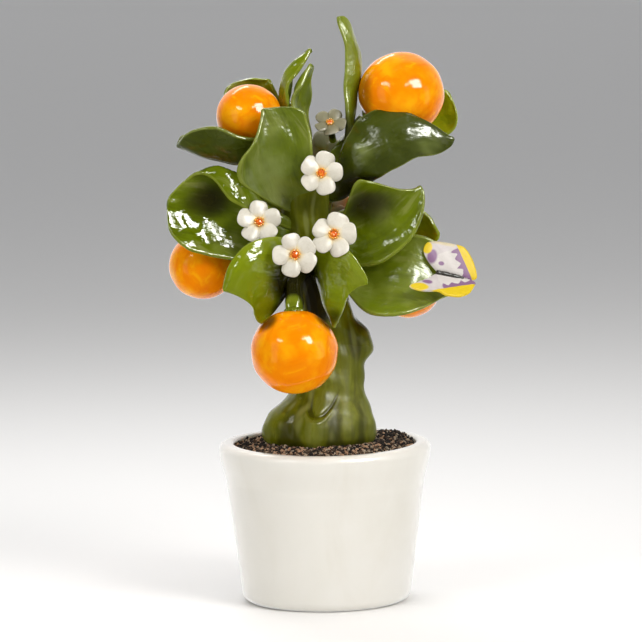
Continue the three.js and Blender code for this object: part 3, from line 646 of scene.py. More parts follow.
# Rings of a round limb along a curve: its radius falls evenly to its tip, with shallow flutes along it.
def limbRings(line, girth, rings, around, fluteDepth=0.0):
    shares = np.linspace(0, 1, rings)
    heading = directionAt(line, shares)
    upright = (0, 0, 1) if abs(heading[0, 2]) < 0.9 else (1, 0, 0)
    aside = unit(np.cross(heading, upright))[:, None]
    above = np.cross(aside, heading[:, None])
    share, turn = grid(shares, roundTurns(around))
    radius = girth[0] + (girth[1] - girth[0]) * share
    radius = radius + fluteDepth * np.cos(limbShape["flutes"] * turn + limbShape["fluteTwist"] * share)
    across = np.cos(turn)[..., None] * aside + np.sin(turn)[..., None] * above
    return curveAt(line, shares)[:, None] + radius[..., None] * across


# A limb, with slow swells. The front stalk ends in a green bud on the orange, and carries painted shade
# behind the bud.
def makeLimb(name, limb, seed):
    shape = limbShape
    rings = limbRings(limb["line"], limb["girth"], shape["rings"], shape["around"], shape["fluteDepth"])
    middle = rings.mean(1, keepdims=True)
    shares = np.linspace(0, 1, shape["rings"])[:, None, None]
    rings = middle + (rings - middle) * (1 + limb.get("bud", 0) * bell(shares - bud["share"], bud["spread"]))
    lift = shape["swelling"] * swells(rings, shape["swellLength"], seed)
    rings = rings + unit(rings - middle) * lift[..., None]
    marks = {}
    if "bud" in limb:
        # painted shade over the front stalk, all but the bud
        away = np.linalg.norm((withPoles(rings) - bud["at"]) / bud["reach"], axis=1)
        marks["hollow"] = 1 - bluntBell(away, 1)
    addRings(name + "_glazed", rings, glazes["stalkGlaze"], "bark_glaze", [name], marks=marks)


makeAll("limbs", makeLimb, limbs, 20)


# Oranges

oranges = {
    "orange_right_high": dict(at=(41.3, 2, 259.2), radius=22.1, limb="bough_right"),
    "orange_left_high": dict(at=(-36.3, 0, 249), radius=16.9, limb="bough_left"),
    "orange_left_middle": dict(at=(-60.9, -3, 173.2), radius=17.6, limb="stalk_left"),
    "orange_front": dict(at=(-14.6, -40, 132.8), radius=22.1, limb="stalk_front"),
    "orange_right_low": dict(at=(43.7, 0, 162), radius=17.8, limb="stalk_right"),
    "orange_back_left_high": dict(at=(-25.2, 23, 224), radius=16.4, limb="stalk_back_left_high"),
    "orange_back_low": dict(at=(-2, 38, 150), radius=15.6, limb="stalk_back_low"),
    "orange_back_right": dict(at=(28, 31, 196), radius=16, limb="stalk_back_right"),
    "orange_back_left_low": dict(at=(-38, 34, 186), radius=16.6, limb="stalk_back_left_low"),
}
fruitShape = {
    "flatness": 0.97, "rings": 70, "around": 110, "dimple": 1.1, "dimpleSpread": 0.3, "unevenness": 0.16,
    "swellLength": 13, "crownSpread": 0.36, "brushWave": 1.6, "brushDrift": 0.6,
}
# The reach of a calyx is an angle in radians, on a fruit of the given radius.
calyxShape = {
    "lobes": 5, "reach": 0.28, "lobeReach": 0.1, "height": 2.2, "rim": 0.25, "sunk": 0.8, "lobePower": 0.7,
    "fruitRadius": 17, "pole": 0.04, "rings": 16, "around": 80,
}


# Two directions square to a third, so that a pattern can be turned about it.
def squareTo(axis):
    helper = np.array([1.0, 0, 0]) if abs(axis[2]) > 0.9 else np.array([0.0, 0, 1])
    aside = unit(np.cross(helper, axis))
    return aside, np.cross(axis, aside)


# Directions at an angle from an axis and a turn about it.
def polarDirections(axis, tilt, turn):
    aside, above = squareTo(axis)
    ring = np.cos(turn)[..., None] * aside + np.sin(turn)[..., None] * above
    return np.cos(tilt)[..., None] * axis + np.sin(tilt)[..., None] * ring


# Points of an orange: a sphere with a dimple at its stalk and a rise, pressed a little flat.
def onFruit(fruitRadius, heading, tilt, rise):
    radius = fruitRadius - fruitShape["dimple"] * bell(tilt, fruitShape["dimpleSpread"]) + rise
    return heading * radius[..., None] * (1, 1, fruitShape["flatness"])


# An orange about its stalk's axis, with slow swells all over, and its calyx.
def makeOrange(name, fruit, seed):
    f = fruitShape
    radius = fruit["radius"]
    at = np.array(fruit["at"], float)
    axis = unit(np.array(limbs[fruit["limb"]]["line"][-1], float) - at)
    tilt, turn = grid(polarTilts(f["rings"]), roundTurns(f["around"]))
    heading = polarDirections(axis, tilt, turn)
    lift = f["unevenness"] * (swells(heading * radius, f["swellLength"], seed) - 1)
    rings = onFruit(radius, heading, tilt, lift) + at
    down = tilt * radius / 10 + np.sin(turn) * f["brushDrift"]
    uv = np.stack([np.cos(turn) * f["brushWave"] + seed, down], -1)
    marks = {"crown": np.append(bell(tilt, f["crownSpread"]), [1, 0])}
    addRings(name + "_glazed", rings, glazes["fruitGlaze"], "fruit_glaze", [name], withPoles(uv), marks)
    makeCalyx(name, at, axis, radius)


# A calyx: a five-lobed cap on the fruit round the stalk. Its height over the fruit falls from the
# middle to its lobes, and its underside lies just inside the fruit.
def makeCalyx(name, at, axis, fruitRadius):
    c = calyxShape
    shares = np.concatenate([np.linspace(c["pole"], 1, c["rings"]), np.linspace(0.98, c["pole"], c["rings"])])
    share, turn = grid(shares, roundTurns(c["around"]))
    under = (np.arange(len(shares)) >= c["rings"])[:, None]
    lobe = (0.5 + 0.5 * np.cos(c["lobes"] * turn)) ** c["lobePower"]
    tilt = share * c["fruitRadius"] / fruitRadius * (c["reach"] + c["lobeReach"] * (lobe - 0.5) * share)
    rise = np.where(under, -c["sunk"], c["height"] * (1 - share**2) + c["rim"])
    rings = onFruit(fruitRadius, polarDirections(axis, tilt, turn), tilt, rise) + at
    addRings(name + "_calyx", rings, glazes["stalkGlaze"], "bark_glaze")


makeAll("oranges", makeOrange, oranges, 40)


# Leaves

leaves = {
    # tone lightens or darkens a whole leaf: partly its own glaze, partly painted light and shade
    # edges holds each side's half width, widest place and power, or its width along the leaf
    "leaf_top_right": dict(
        spine=[(15, 3, 232), (16.8, 2, 252), (18.4, 0, 280), (9.6, -4, 299)],
        across=[(0, -1, 0), (-0.35, -1, -0.1), (-0.8, -0.6, -0.3)],
        edges=((7.5, 0.62, 0.8), (8, 0.35, 1.2)), fold=6, curl=20, tone=0.5, matt=0.5,
    ),
    "leaf_top_left": dict(
        spine=[(-17, 6, 236), (-19.5, 6, 254), (-17, 5, 270), (-4, 4, 282.5)],
        across=[(0, 1, 0)], edges=((9, 0.4), (9, 0.4)), fold=8, tone=0.4,
    ),
    "leaf_top_middle": dict(
        spine=[(-9, 6, 236), (-12, 4, 252), (-10.5, 3, 264), (-4, 2, 275)],
        across=[(0.5, 0.85, 0)], edges=((8, 0.45), (8, 0.45)), fold=8, curl=25, tone=0.35, matt=0.6,
    ),
    "leaf_front_left_high": dict(
        spine=[(-10, -6, 203), (-18, -17, 220), (-20.5, -22, 238), (-28.5, -23, 254)],
        across=[(0.9, -0.1, 0.4), (1, 0.1, 0.05), (0.98, 0.1, 0.08)],
        edges=(
            [
                (0, 3), (0.12, 9), (0.26, 17), (0.38, 24.5), (0.5, 24.5), (0.63, 17), (0.78, 9), (0.9, 4),
                (1, 1),
            ],
            [(0, 2), (0.15, 8), (0.35, 13.5), (0.6, 15), (0.8, 17), (0.93, 18), (1, 13)],
        ),
        curl=(35, 14), tone=-0.1, matt=0.4,
        # painted sheen spots, pale for soft reflections: place, reach and share
        milk=[(-27, -24, 223, 11, 1.0), (-22, -24, 210, 7, 0.7), (-24, -24, 243, 6, 0.5)],
    ),
    "leaf_front_right_high": dict(
        spine=[(4, -5, 207), (24, -22, 226), (45, -24, 238), (67.5, -17, 237)],
        across=[(-0.65, 0.2, 0.75), (-0.5, 0.1, 0.85), (0.1, 0.2, 1)],
        edges=((11, 0.6, 1.2), (22.5, 0.42, (3.5, 2.9))), curl=(40, 45), tone=-0.8, matt=0.4,
        milk=[(22, -22, 232, 7, 0.6), (54, -22, 234, 9, 0.6)],
    ),
    "leaf_behind_right_orange": dict(
        spine=[(18, 5, 234), (40, 24, 244), (56, 24, 252), (67, 19, 258)],
        across=[(0.35, 0, -0.95), (0.5, 0, -0.9)], edges=((12, 0.5), (18, 0.72)), curl=(30, 25), tone=1.0,
    ),
    "leaf_left_high": dict(
        spine=[(-14.5, -2, 229), (-36, -6.5, 225.5), (-56, -8, 229), (-73, -10, 235.5)],
        across=[(0, 1, 0), (-0.2, 1, 0.1)], edges=((20, 0.5, (1.2, 0.75)), (13, 0.5, (1.2, 0.75))),
        fold=(35, 20), curl=(30, 50), tone=-0.7, matt=0.45,
    ),
    "leaf_behind_left_orange": dict(
        spine=[(-13, 4, 236), (-28, 19, 246), (-38, 21, 256), (-43, 18, 266)],
        across=[(0.7, 0.3, 0.6), (0.7, 0, 0.7), (0.95, 0, 0.3)],
        edges=((13, 0.6), (17, 0.7)), tone=0.2,
    ),
    "leaf_left_middle": dict(
        spine=[(-12, -4, 190), (-36, -15, 196), (-57, -17, 203), (-78, -22, 207)],
        across=[(0.2, 0, 1), (0.3, 0, 0.95), (0.1, 0, 1)],
        edges=((25, 0.66, 0.9), [
            (0, 2), (0.2, 14), (0.36, 26), (0.48, 36), (0.56, 37), (0.67, 32), (0.75, 25), (0.8, 20),
            (0.86, 14), (0.92, 9), (1, 2),
        ]),
        curl=(45, 172), roll=(1, (0.42, 0.80)), rollSlide=(0.5, 0.45, 0.7), domes=[(-65, -24, 183, 11, 1.5)],
    ),
    "leaf_right_middle": dict(
        spine=[(5, -6, 184), (19, -15, 187), (34, -19, 196), (50.5, -18, 213.5)],
        across=[(0.3, 0, -0.95), (0.3, 0, -0.95), (0.8, 0, -0.6)],
        edges=((29, 0.56, 4), (17, 0.55, 1.6)), curl=(40, 45), tone=0.2, matt=0.25,
    ),
    "leaf_right_low": dict(
        spine=[(6, -6, 172), (26, -15, 170), (46, -22, 168), (64.5, -22, 158.5)],
        across=[(-0.3, -0.3, -0.9), (-0.15, -0.4, -0.9), (-0.3, -0.6, -0.75)],
        edges=((21, 0.7, 1.8), (27, 0.52, 2.6)), curl=(25, 30), tone=0.35, matt=0.5,
    ),
    "leaf_front_left_low": dict(
        spine=[(-12, -10, 176), (-21, -31, 183.5), (-37, -40, 180.5), (-49.5, -40, 163.5)],
        across=[(0.1, 0.4, 0.9), (0, 0, 1), (-0.5, 0, 0.85)],
        edges=((38, 0.44, 2.2), (6, 0.5, 1.2)), curl=(-22, -20), tone=0.7, matt=0.12,
        domes=[(-43, -42, 174, 11, 3.4)],
    ),
    "leaf_front_right_low": dict(
        spine=[(-6, -10, 176), (0, -31, 181), (12, -40, 177.5), (22.5, -40, 166)],
        across=[(-0.1, 0.4, 0.9), (0, 0, 1), (0.4, 0, 0.9)],
        edges=((37, 0.33, 2), (6, 0.5, 1.2)), curl=(15, 20), tone=0.6, matt=0.12,
        domes=[(8, -40, 168, 9, 2.6)],
    ),
    "leaf_right_behind": dict(
        spine=[(4, 4, 190), (28, 14, 194), (46, 13, 194), (59.5, 6, 184)],
        across=[(0, 0, -1), (0, 0, -1), (-0.4, 0.5, -0.8)],
        edges=((11, 0.6), (13, 0.6)), tone=1.0,
    ),
    "leaf_back_left_low": dict(
        spine=[(-6, 5, 170), (-16, 24, 174), (-22, 40, 168), (-25, 52, 153)],
        across=[(1, 0, 0.2), (1, 0.2, 0.2)], edges=((12, 0.5), (12, 0.5)), curl=-30, tone=0.1,
    ),
    "leaf_back_right_low": dict(
        spine=[(2, 5, 166), (22, 26, 170), (38, 38, 168), (50, 44, 158)],
        across=[(0, 0, 1), (0, 0, 1), (0.6, 0.3, 0.75)], edges=((16, 0.5), (16, 0.5)), curl=35,
        tone=-0.1,
    ),
    "leaf_back_low": dict(
        spine=[(-3, 5, 184), (3, 28, 190), (6, 44, 186), (9, 57, 172)],
        across=[(1, 0, 0)], edges=((17, 0.5), (17, 0.5)), curl=-30, tone=0.15,
    ),
    "leaf_back_left_middle": dict(
        spine=[(-10, 3, 192), (-34, 20, 196), (-50, 27, 203), (-65, 27, 210)],
        across=[(0, 0, -1), (-0.3, 0.2, -0.9), (-0.5, 0, -0.85)],
        edges=((15, 0.6), (17, 0.6)), curl=(40, 45),
    ),
    "leaf_back_right_middle": dict(
        spine=[(2, 4, 190), (24, 20, 188), (40, 32, 184), (54, 36, 188)],
        across=[(0, 0, 1), (0.2, 0.15, 1), (-0.3, 0, 0.95)],
        edges=((14, 0.55), (16, 0.55)), curl=35, tone=0.1,
    ),
    "leaf_back_middle": dict(
        spine=[(-5, 5, 208), (-6, 26, 218), (-6, 40, 216), (-6, 53, 204)],
        across=[(1, 0, 0)], edges=((16, 0.5), (15, 0.5)), curl=-30, tone=-0.1,
    ),
    "leaf_back_left_high": dict(
        spine=[(-13, 3, 232), (-18, 20, 245), (-24, 32, 250), (-32, 42, 246)],
        across=[(1, 0.15, 0.15), (0.9, 0.35, 0.25), (0.75, 0.65, 0)],
        edges=((13, 0.5), (11, 0.5)), curl=20, tone=0.1,
    ),
    "leaf_back_right_high": dict(
        spine=[(8, 4, 224), (26, 22, 234), (38, 34, 238), (48, 44, 233)],
        across=[(-0.65, 0.25, 0.7), (-0.6, 0.3, 0.75), (-0.25, 0.7, 0.7)],
        edges=((12, 0.5), (13, 0.5)),
    ),
}
leafShape = {
    "power": 1.2, "curl": 30, "thickness": 2.8, "rootSwelling": 0.5, "edgeThinning": 0.25,
    "stalkHalfWidth": 2.6, "tipHalfWidth": 0.5, "waveCount": 1.6, "waveLag": 0.4, "tipRound": 0.02,
    "rimSteps": 7, "rimShare": 0.6, "rings": 84, "halfColumns": 24, "unevenness": 0.42, "swellLength": 13,
    "ruffle": 0.05, "ruffleLength": 4.5, "slidePower": 1.8,
}


# Half the blade's width at a share of its length, 1 at the widest place: a power of the share times
# a power of what is left, over the same at the widest place. A low power is blunt.
def bladeOutline(share, widest, power=leafShape["power"]):
    risePower, fallPower = power if isinstance(power, tuple) else (power, power)
    rise, fall = risePower * widest, fallPower * (1 - widest)
    return share**rise * (1 - share) ** fall / (widest**rise * (1 - widest) ** fall)


# A side's width in millimetres at shares of the leaf's length, along a smooth curve through a list.
# The shares are stretched to about the leaf's length, so that the curve runs evenly.
def reachAlong(steps, t, length=80):
    curve = curveAt([(share * length, width) for share, width in steps], np.linspace(0, 1, 400))
    return np.interp(t * length, curve[:, 0], curve[:, 1])


# How much of a leaf's curl is done: a power of the share across, or a smooth step between two shares.
def rollShare(share, roll):
    return smoothStep(share, *roll) if isinstance(roll, tuple) else share**roll


# One side of a blade, laid out from the spine in steps that turn up by the fold and the curl. A
# rolled side can unroll towards the tip, as the roll slides outwards by a power of the length.
def leafSide(leaf, k, blade):
    s = leafShape
    t, tipFade, sign = blade["t"], blade["tipFade"], (-1, 1)[k]
    aside, face = blade["aside"][:, None], blade["face"][:, None]
    edge, roll = leaf["edges"][k], leaf.get("roll", (1, 1))[k]
    half = reachAlong(edge, t) if isinstance(edge, list) else edge[0] * bladeOutline(t, *edge[1:])
    half = (half + s["stalkHalfWidth"] * (1 - t) ** 4 + s["tipHalfWidth"]) * tipFade
    fold = np.broadcast_to(leaf.get("fold", 0), 2)[k]
    curl = np.broadcast_to(leaf.get("curl", s["curl"]), 2)[k]
    slide = np.zeros((len(t), 1))
    if k == 1 and "rollSlide" in leaf:
        start, length, amount = leaf["rollSlide"]
        slide = amount * np.clip((t[:, None] - start) / length, 0, 1) ** s["slidePower"]
    turnAt = lambda share: np.radians(fold + curl * rollShare(np.maximum(share - slide, 0), roll))
    swelling = 1 + s["rootSwelling"] * (1 - t) ** 3
    rim = np.minimum(s["thickness"] / 2 * (swelling - s["edgeThinning"]) * tipFade, s["rimShare"] * half)
    shares = blade["shares"]
    turns = turnAt((shares[1:] + shares[:-1]) / 2)[..., None]
    stride = ((half - rim) / s["halfColumns"])[:, None, None]
    moves = stride * (sign * np.cos(turns) * aside + np.sin(turns) * face)
    points = blade["centre"][:, None] + np.concatenate([np.zeros_like(moves[:, :1]), np.cumsum(moves, 1)], 1)
    wave = np.sin(fullTurn * (t * s["waveCount"] + k * s["waveLag"]))[:, None] * shares**2
    lean = turnAt(shares)[..., None]
    return dict(
        points=points + wave[..., None] * face,
        normals=np.cos(lean) * face - sign * np.sin(lean) * blade["level"][:, None],
        thick=s["thickness"] / 2 * (swelling[:, None] - s["edgeThinning"] * shares) * tipFade[:, None],
        outward=unit(sign * np.cos(lean[:, -1:]) * aside + np.sin(lean[:, -1:]) * face)[:, 0],
        rim=rim,
        reach=shares * half[:, None] * sign,
    )


# A leaf: its blade runs from a spine to both sides, swells and ripples, and a dome is a bell-shaped
# rise about a place. Each ring is the upper skin, a round rim, the lower skin and a rim.
def leafRings(leaf, seed):
    s = leafShape
    t = (1 - np.cos(np.pi * np.linspace(0, 1, s["rings"] + 1)[:-1])) / 2
    heading = directionAt(leaf["spine"], t)
    aside = unit(curveAt(leaf["across"], t))
    face = unit(np.cross(aside, heading))
    tipFade = np.sqrt(1 - np.clip((t - 1 + s["tipRound"]) / s["tipRound"], 0, 1) ** 2)
    shares = np.linspace(0, 1, s["halfColumns"] + 1)
    blade = dict(
        t=t, centre=curveAt(leaf["spine"], t), aside=aside, face=face, level=np.cross(heading, face),
        tipFade=tipFade, shares=shares,
    )
    left, right = (leafSide(leaf, k, blade) for k in (0, 1))
    keys = ("points", "normals", "thick", "reach")
    skin, normals, thick, reach = (np.concatenate([left[key][:, :0:-1], right[key]], 1) for key in keys)
    lift = s["unevenness"] * swells(skin, s["swellLength"], seed)
    lift = (lift + s["ruffle"] * swells(skin, s["ruffleLength"], seed + 300)) * tipFade[:, None]
    for *place, spread, height in leaf.get("domes", ()):
        lift = lift + height * bell(np.linalg.norm(skin - place, axis=-1), spread)
    skin = skin + normals * lift[..., None]
    body = normals * thick[..., None]
    bend = np.pi * np.arange(1, s["rimSteps"])[:, None] / s["rimSteps"]
    rims, rimReach = [], []
    for side, column, way in ((right, -1, 1), (left, 0, -1)):
        out = np.sin(bend) * (side["outward"] * side["rim"][:, None])[:, None]
        rims.append(skin[:, column][:, None] + out + way * np.cos(bend) * body[:, column][:, None])
        rimReach.append(np.repeat(reach[:, column][:, None], len(bend), 1))
    rings = np.concatenate([skin + body, rims[0], (skin - body)[:, ::-1], rims[1]], 1)
    reach = np.concatenate([reach, rimReach[0], reach[:, ::-1], rimReach[1]], 1)
    edge = np.tile(np.concatenate([shares[:0:-1], shares, np.ones(len(bend))]), 2)
    strides = np.linalg.norm(np.diff(blade["centre"], axis=0), axis=1)
    length = np.concatenate([[0], np.cumsum(strides)])[:, None]
    uv = np.stack(np.broadcast_arrays(length, reach), -1) / 10 + seed
    return rings, uv, np.repeat(edge[None], len(t), 0)


def makeLeaf(name, leaf, seed):
    rings, uv, edge = leafRings(leaf, seed)
    poles = [rings[0].mean(0), leaf["spine"][-1]]
    points = withPoles(rings, poles)
    # the edge mark gives the pale rim: thinner glaze and a painted highlight
    marks = {"edge": np.append(edge, [0, 1])}
    # each leaf's tone lightens or darkens it: partly its own glaze, partly painted light and shade
    for mark in ("tone", "matt"):
        marks[mark] = np.full(len(points), float(leaf.get(mark, 0)))
    # painted sheen: pale spots standing for soft reflections
    marks["milk"] = np.zeros(len(points))
    for *place, reach, share in leaf.get("milk", ()):
        marks["milk"] += share * bell(np.linalg.norm(points - place, axis=1), reach)
    marks["milk"] *= 1 + 0.25 * swells(points, 7, seed)
    addRings(name + "_glazed", rings, glazes["leafGlaze"], "leaf_glaze", [name], withPoles(uv), marks, poles)


makeAll("leaves", makeLeaf, leaves, 60)


# Flowers

flowers = {
    "flower_centre": dict(at=(-0.1, -24, 221), facing=(0.13, -1, 0.1), spin=2, size=0.95, stalk=16),
    "flower_left": dict(at=(-31.6, -26, 196.6), facing=(0.1, -1, 0.38), spin=16, size=0.95, stalk=14),
    "flower_front": dict(at=(-13.6, -42, 181.6), facing=(0, -1, 0.1), spin=36, stalk=27),
    "flower_right": dict(at=(6, -35, 190.6), facing=(-0.08, -1, 0.38), spin=5, stalk=22),
    "flower_top": dict(at=(4.9, -4, 245), facing=(-0.1, -0.8, 0.7), spin=-8, size=0.72, stalk=14),
    "flower_back_high": dict(at=(1, 18, 229), facing=(0.1, 1, 0.3), spin=20, stalk=14),
    "flower_back_left": dict(at=(-20, 33, 206), facing=(-0.3, 1, 0.1), spin=50, stalk=22),
    "flower_back_right": dict(at=(4, 40, 200), facing=(0.1, 1, 0.1), spin=8, stalk=28),
}
petalShape = {
    "count": 5, "start": 1.2, "reach": 11.6, "reaches": (0.93, 1.03), "halfWidth": 5.1,
    "widths": (0.92, 1.08), "widest": 0.63, "power": 0.95, "thickness": 1.3, "rise": 1.4, "droop": 0.7,
    "twist": 10, "twists": (-5, 5), "spins": (-3, 3), "lifts": (-0.25, 0.25), "rootWidth": 0.7,
    "thickest": 0.55, "thickPower": 0.9, "rootThickness": 0.2, "lift": 0.3, "swelling": 0.16,
    "swellLength": 6, "rings": 30, "around": 40,
}
heartShape = {
    "radius": 1.9, "height": 1.3, "lift": 1.2, "lump": 0.12, "lumpLength": 1.6, "ball": (14, 24),
    "stamens": 11, "stamenRing": 2.3, "stamenRadius": 0.6, "stamenTall": 1.5, "stamenSizes": (0.85, 1.15),
    "stamenTurns": (-0.25, 0.25), "stamenLift": 1.7, "stamenLifts": (-0.2, 0.3), "stamenBall": (6, 10),
    "stalkFrom": 0.4, "stalkGirth": (2.0, 1.9), "stalk": (24, 24),
}


# A matrix whose columns turn +Z to a direction, with +Y as near to upright as it goes.
def facingAxes(facing):
    z = unit(np.array(facing, float))
    x = unit(np.cross((0, 0, 1), z))
    return np.stack([x, np.cross(z, x), z], 1)


# One petal along +X: an egg-shaped cushion. Its half width follows the blade outline, its middle
# rises with the square of its length, its sides droop, and it is twisted about its own length.
def petalRings(rng):
    p = petalShape
    u, turn = grid((1 - np.cos(polarTilts(p["rings"]))) / 2, roundTurns(p["around"]))
    half = p["halfWidth"] * rng.uniform(*p["widths"]) * bladeOutline(u, p["widest"], p["power"])
    half = half + p["rootWidth"] * (1 - u) ** 2
    thick = p["thickness"] * bladeOutline(u, p["thickest"], p["thickPower"]) + p["rootThickness"] * (1 - u)
    along = p["start"] + (p["reach"] * rng.uniform(*p["reaches"]) - p["start"]) * u
    across = half * np.cos(turn)
    rise = p["rise"] * u**2 - p["droop"] * (across / p["halfWidth"]) ** 2
    slope = math.tan(math.radians(p["twist"] + rng.uniform(*p["twists"])))
    height = p["lift"] + rise + thick * np.sin(turn) + slope * across * smoothStep(u, 0, 0.5)
    rings = np.stack([along, across, height], -1)
    rings[..., 2] += p["swelling"] * swells(rings, p["swellLength"], int(rng.integers(1000)))
    return rings, np.append(1 - u, [1, 0]), withPoles(rings[..., :2] / 3)


def turnedBy(points, degreesRound):
    c, s = math.cos(math.radians(degreesRound)), math.sin(math.radians(degreesRound))
    return points @ np.array([[c, s, 0], [-s, c, 0], [0, 0, 1]])


# Several closed shapes of the same rings in one piece: each one's faces are shifted past the last.
def joinedRings(shapes, rings, around):
    starts = (np.arange(len(shapes)) * (rings * around + 2))[:, None, None]
    shifted = [(faces + starts).reshape(-1, faces.shape[1]) for faces in ringFaces(rings, around)]
    return np.vstack(shapes), *shifted


# A small ball of points: rings from pole to pole about +Z.
def ballPoints(rings, around):
    tilt, turn = grid(polarTilts(rings), roundTurns(around))
    return withPoles(roundRings(np.sin(tilt), turn, np.cos(tilt)), [(0, 0, 1), (0, 0, -1)])


# A flower: five petals about its facing, a red heart, a ring of stamens and a stalk behind it.
def makeFlower(name, flower, seed):
    p, h = petalShape, heartShape
    rng = np.random.default_rng(seed)
    size = flower.get("size", 1)
    axes = facingAxes(flower["facing"])
    place = lambda local: np.asarray(local) * size @ axes.T + flower["at"]
    petals, throats, uvs = [], [], []
    for k in range(p["count"]):
        rings, throat, uv = petalRings(rng)
        local = turnedBy(withPoles(rings), flower["spin"] + k * 360 / p["count"] + rng.uniform(*p["spins"]))
        local[:, 2] += rng.uniform(*p["lifts"])
        petals.append(place(local))
        throats.append(throat)
        uvs.append(uv + seed)
    joined = joinedRings(petals, p["rings"], p["around"])
    marks = {"throat": np.concatenate(throats)}
    addPiece(name + "_petals", *joined, glazes["petalGlaze"], "petal_glaze", [name], np.vstack(uvs), marks)
    ball = ballPoints(*h["ball"])
    heart = ball * (h["radius"], h["radius"], h["height"]) + (0, 0, h["lift"])
    heart = heart + h["lump"] * swells(heart, h["lumpLength"], seed)[:, None] * ball
    addPiece(name + "_heart", place(heart), *ringFaces(*h["ball"]), glazes["heartGlaze"], "petal_glaze")
    small = ballPoints(*h["stamenBall"])
    stamens = []
    for k in range(h["stamens"]):
        turn = fullTurn * (k + rng.uniform(*h["stamenTurns"])) / h["stamens"]
        lift = h["stamenLift"] + rng.uniform(*h["stamenLifts"])
        foot = np.array([h["stamenRing"] * math.cos(turn), h["stamenRing"] * math.sin(turn), lift])
        grown = small * h["stamenRadius"] * (1, 1, h["stamenTall"]) * rng.uniform(*h["stamenSizes"])
        stamens.append(place(grown + foot))
    joined = joinedRings(stamens, *h["stamenBall"])
    addPiece(name + "_stamens", *joined, glazes["stamenGlaze"], "petal_glaze")
    length = flower["stalk"] / size
    line = place([(0, 0, h["stalkFrom"]), (0, 0, -length / 2), (0, 0, -length)])
    rings = limbRings(line, h["stalkGirth"] * np.array([size, 1]), *h["stalk"])
    addRings(name + "_stalk", rings, glazes["stalkGlaze"], "bark_glaze")


makeAll("flowers", makeFlower, flowers, 90)


# Butterfly on the right-hand lower leaf

butterfly = {
    "head": (57, -23.5, 169.8), "tail": (71.5, -22, 166.4), "girth": (1.5, 0.9), "wingThickness": 1.8,
    "rings": 26, "around": 170, "pole": 0.04, "inset": 0.985, "bow": 0.5, "bowMiddle": 8, "bowLength": 20,
    "bowDrop": 0.45, "ripple": 0.12, "bodyRings": 40, "bodyAround": 24, "bodyShift": (0, -1.1, 0.4),
    "waist": 0.75, "bulge": 0.35, "pinching": 9, "scallopReach": 4.6, "scallopDepth": 2.4,
    "scallopTurn": 0.7, "scallopWave": 0.4, "scallopWaveTurn": 2.3, "bandDepth": 1.2,
    "bandFade": (-1.2, 1.5), "tipDepth": 1.6, "edgeDepth": 1.25,
}
# Outlines and marks are in millimetres along the body and away from it. A band is given by a point
# of its inner edge and the direction across it, and a spot by its middle and its two reaches.
wings = {
    "butterfly_wing_high": dict(
        outward=(0.1, 0.35, 1),
        outline=[
            (0, 0.8), (-5.4, 5.5), (-8.2, 10.2), (-7, 14.6), (-2.2, 16.4), (5.2, 16.9), (12.3, 16.4),
            (16.5, 12.5), (19.6, 7.5), (21.2, 1),
        ],
        band=((9.4, 14.4), (0.832, 0.556)), tip=(-6.4, 12, 2.9, 3.6),
        spots=[(-3.2, 8, 2.9, 4.3), (2, 5.2, 1.7, 1.3)], straw=(14.6, 7.5),
    ),
    "butterfly_wing_low": dict(
        outward=(0, -1, -0.68), sweep=0.4,
        outline=[
            (0.5, 0.8), (-3.2, 7.6), (-6.9, 12.4), (-7.6, 15.2), (-5.8, 17), (0.8, 17), (6.8, 14.6),
            (12, 16.6), (18.6, 15.8), (22, 11.5), (22.3, 5), (21.2, 1),
        ],
        band=((9.4, 11.6), (0.578, 0.817)), tip=(-2.6, 14.6, 5.2, 3.4), spots=[(-0.6, 9.4, 3.0, 1.9)],
        straw=(30, 0),
    ),
}


# Painted marks at a place on the wing, each positive inside: a yellow tip and outer band, a purple
# band with scallops beside it, purple spots, and a straw-coloured edge along the top.
def wingMarks(wing, s, w):
    b = butterfly
    (s0, w0), (acrossS, acrossW) = wing["band"]
    across = (s - s0) * acrossS + (w - w0) * acrossW
    along = (s - s0) * acrossW - (w - w0) * acrossS
    tipS, tipW, tipLong, tipWide = wing["tip"]
    tip = 1 - np.hypot((s - tipS) / tipLong, (w - tipW) / tipWide)
    scallop = b["scallopReach"] - b["scallopDepth"] * np.abs(np.sin(along * b["scallopTurn"]))
    scallop = scallop + b["scallopWave"] * np.sin(along * b["scallopWaveTurn"])
    band = np.minimum(across + scallop, b["bandDepth"]) * smoothStep(along, *b["bandFade"])
    spots = [1 - np.hypot((s - x) / long, (w - y) / wide) for x, y, long, wide in wing["spots"]]
    strawFoot, strawEnd = wing["straw"]
    return dict(
        yellow=np.maximum(tip * b["tipDepth"], across * b["edgeDepth"]),
        purple=np.maximum.reduce([band] + spots),
        straw=np.minimum(w - strawFoot, strawEnd - s),
    )


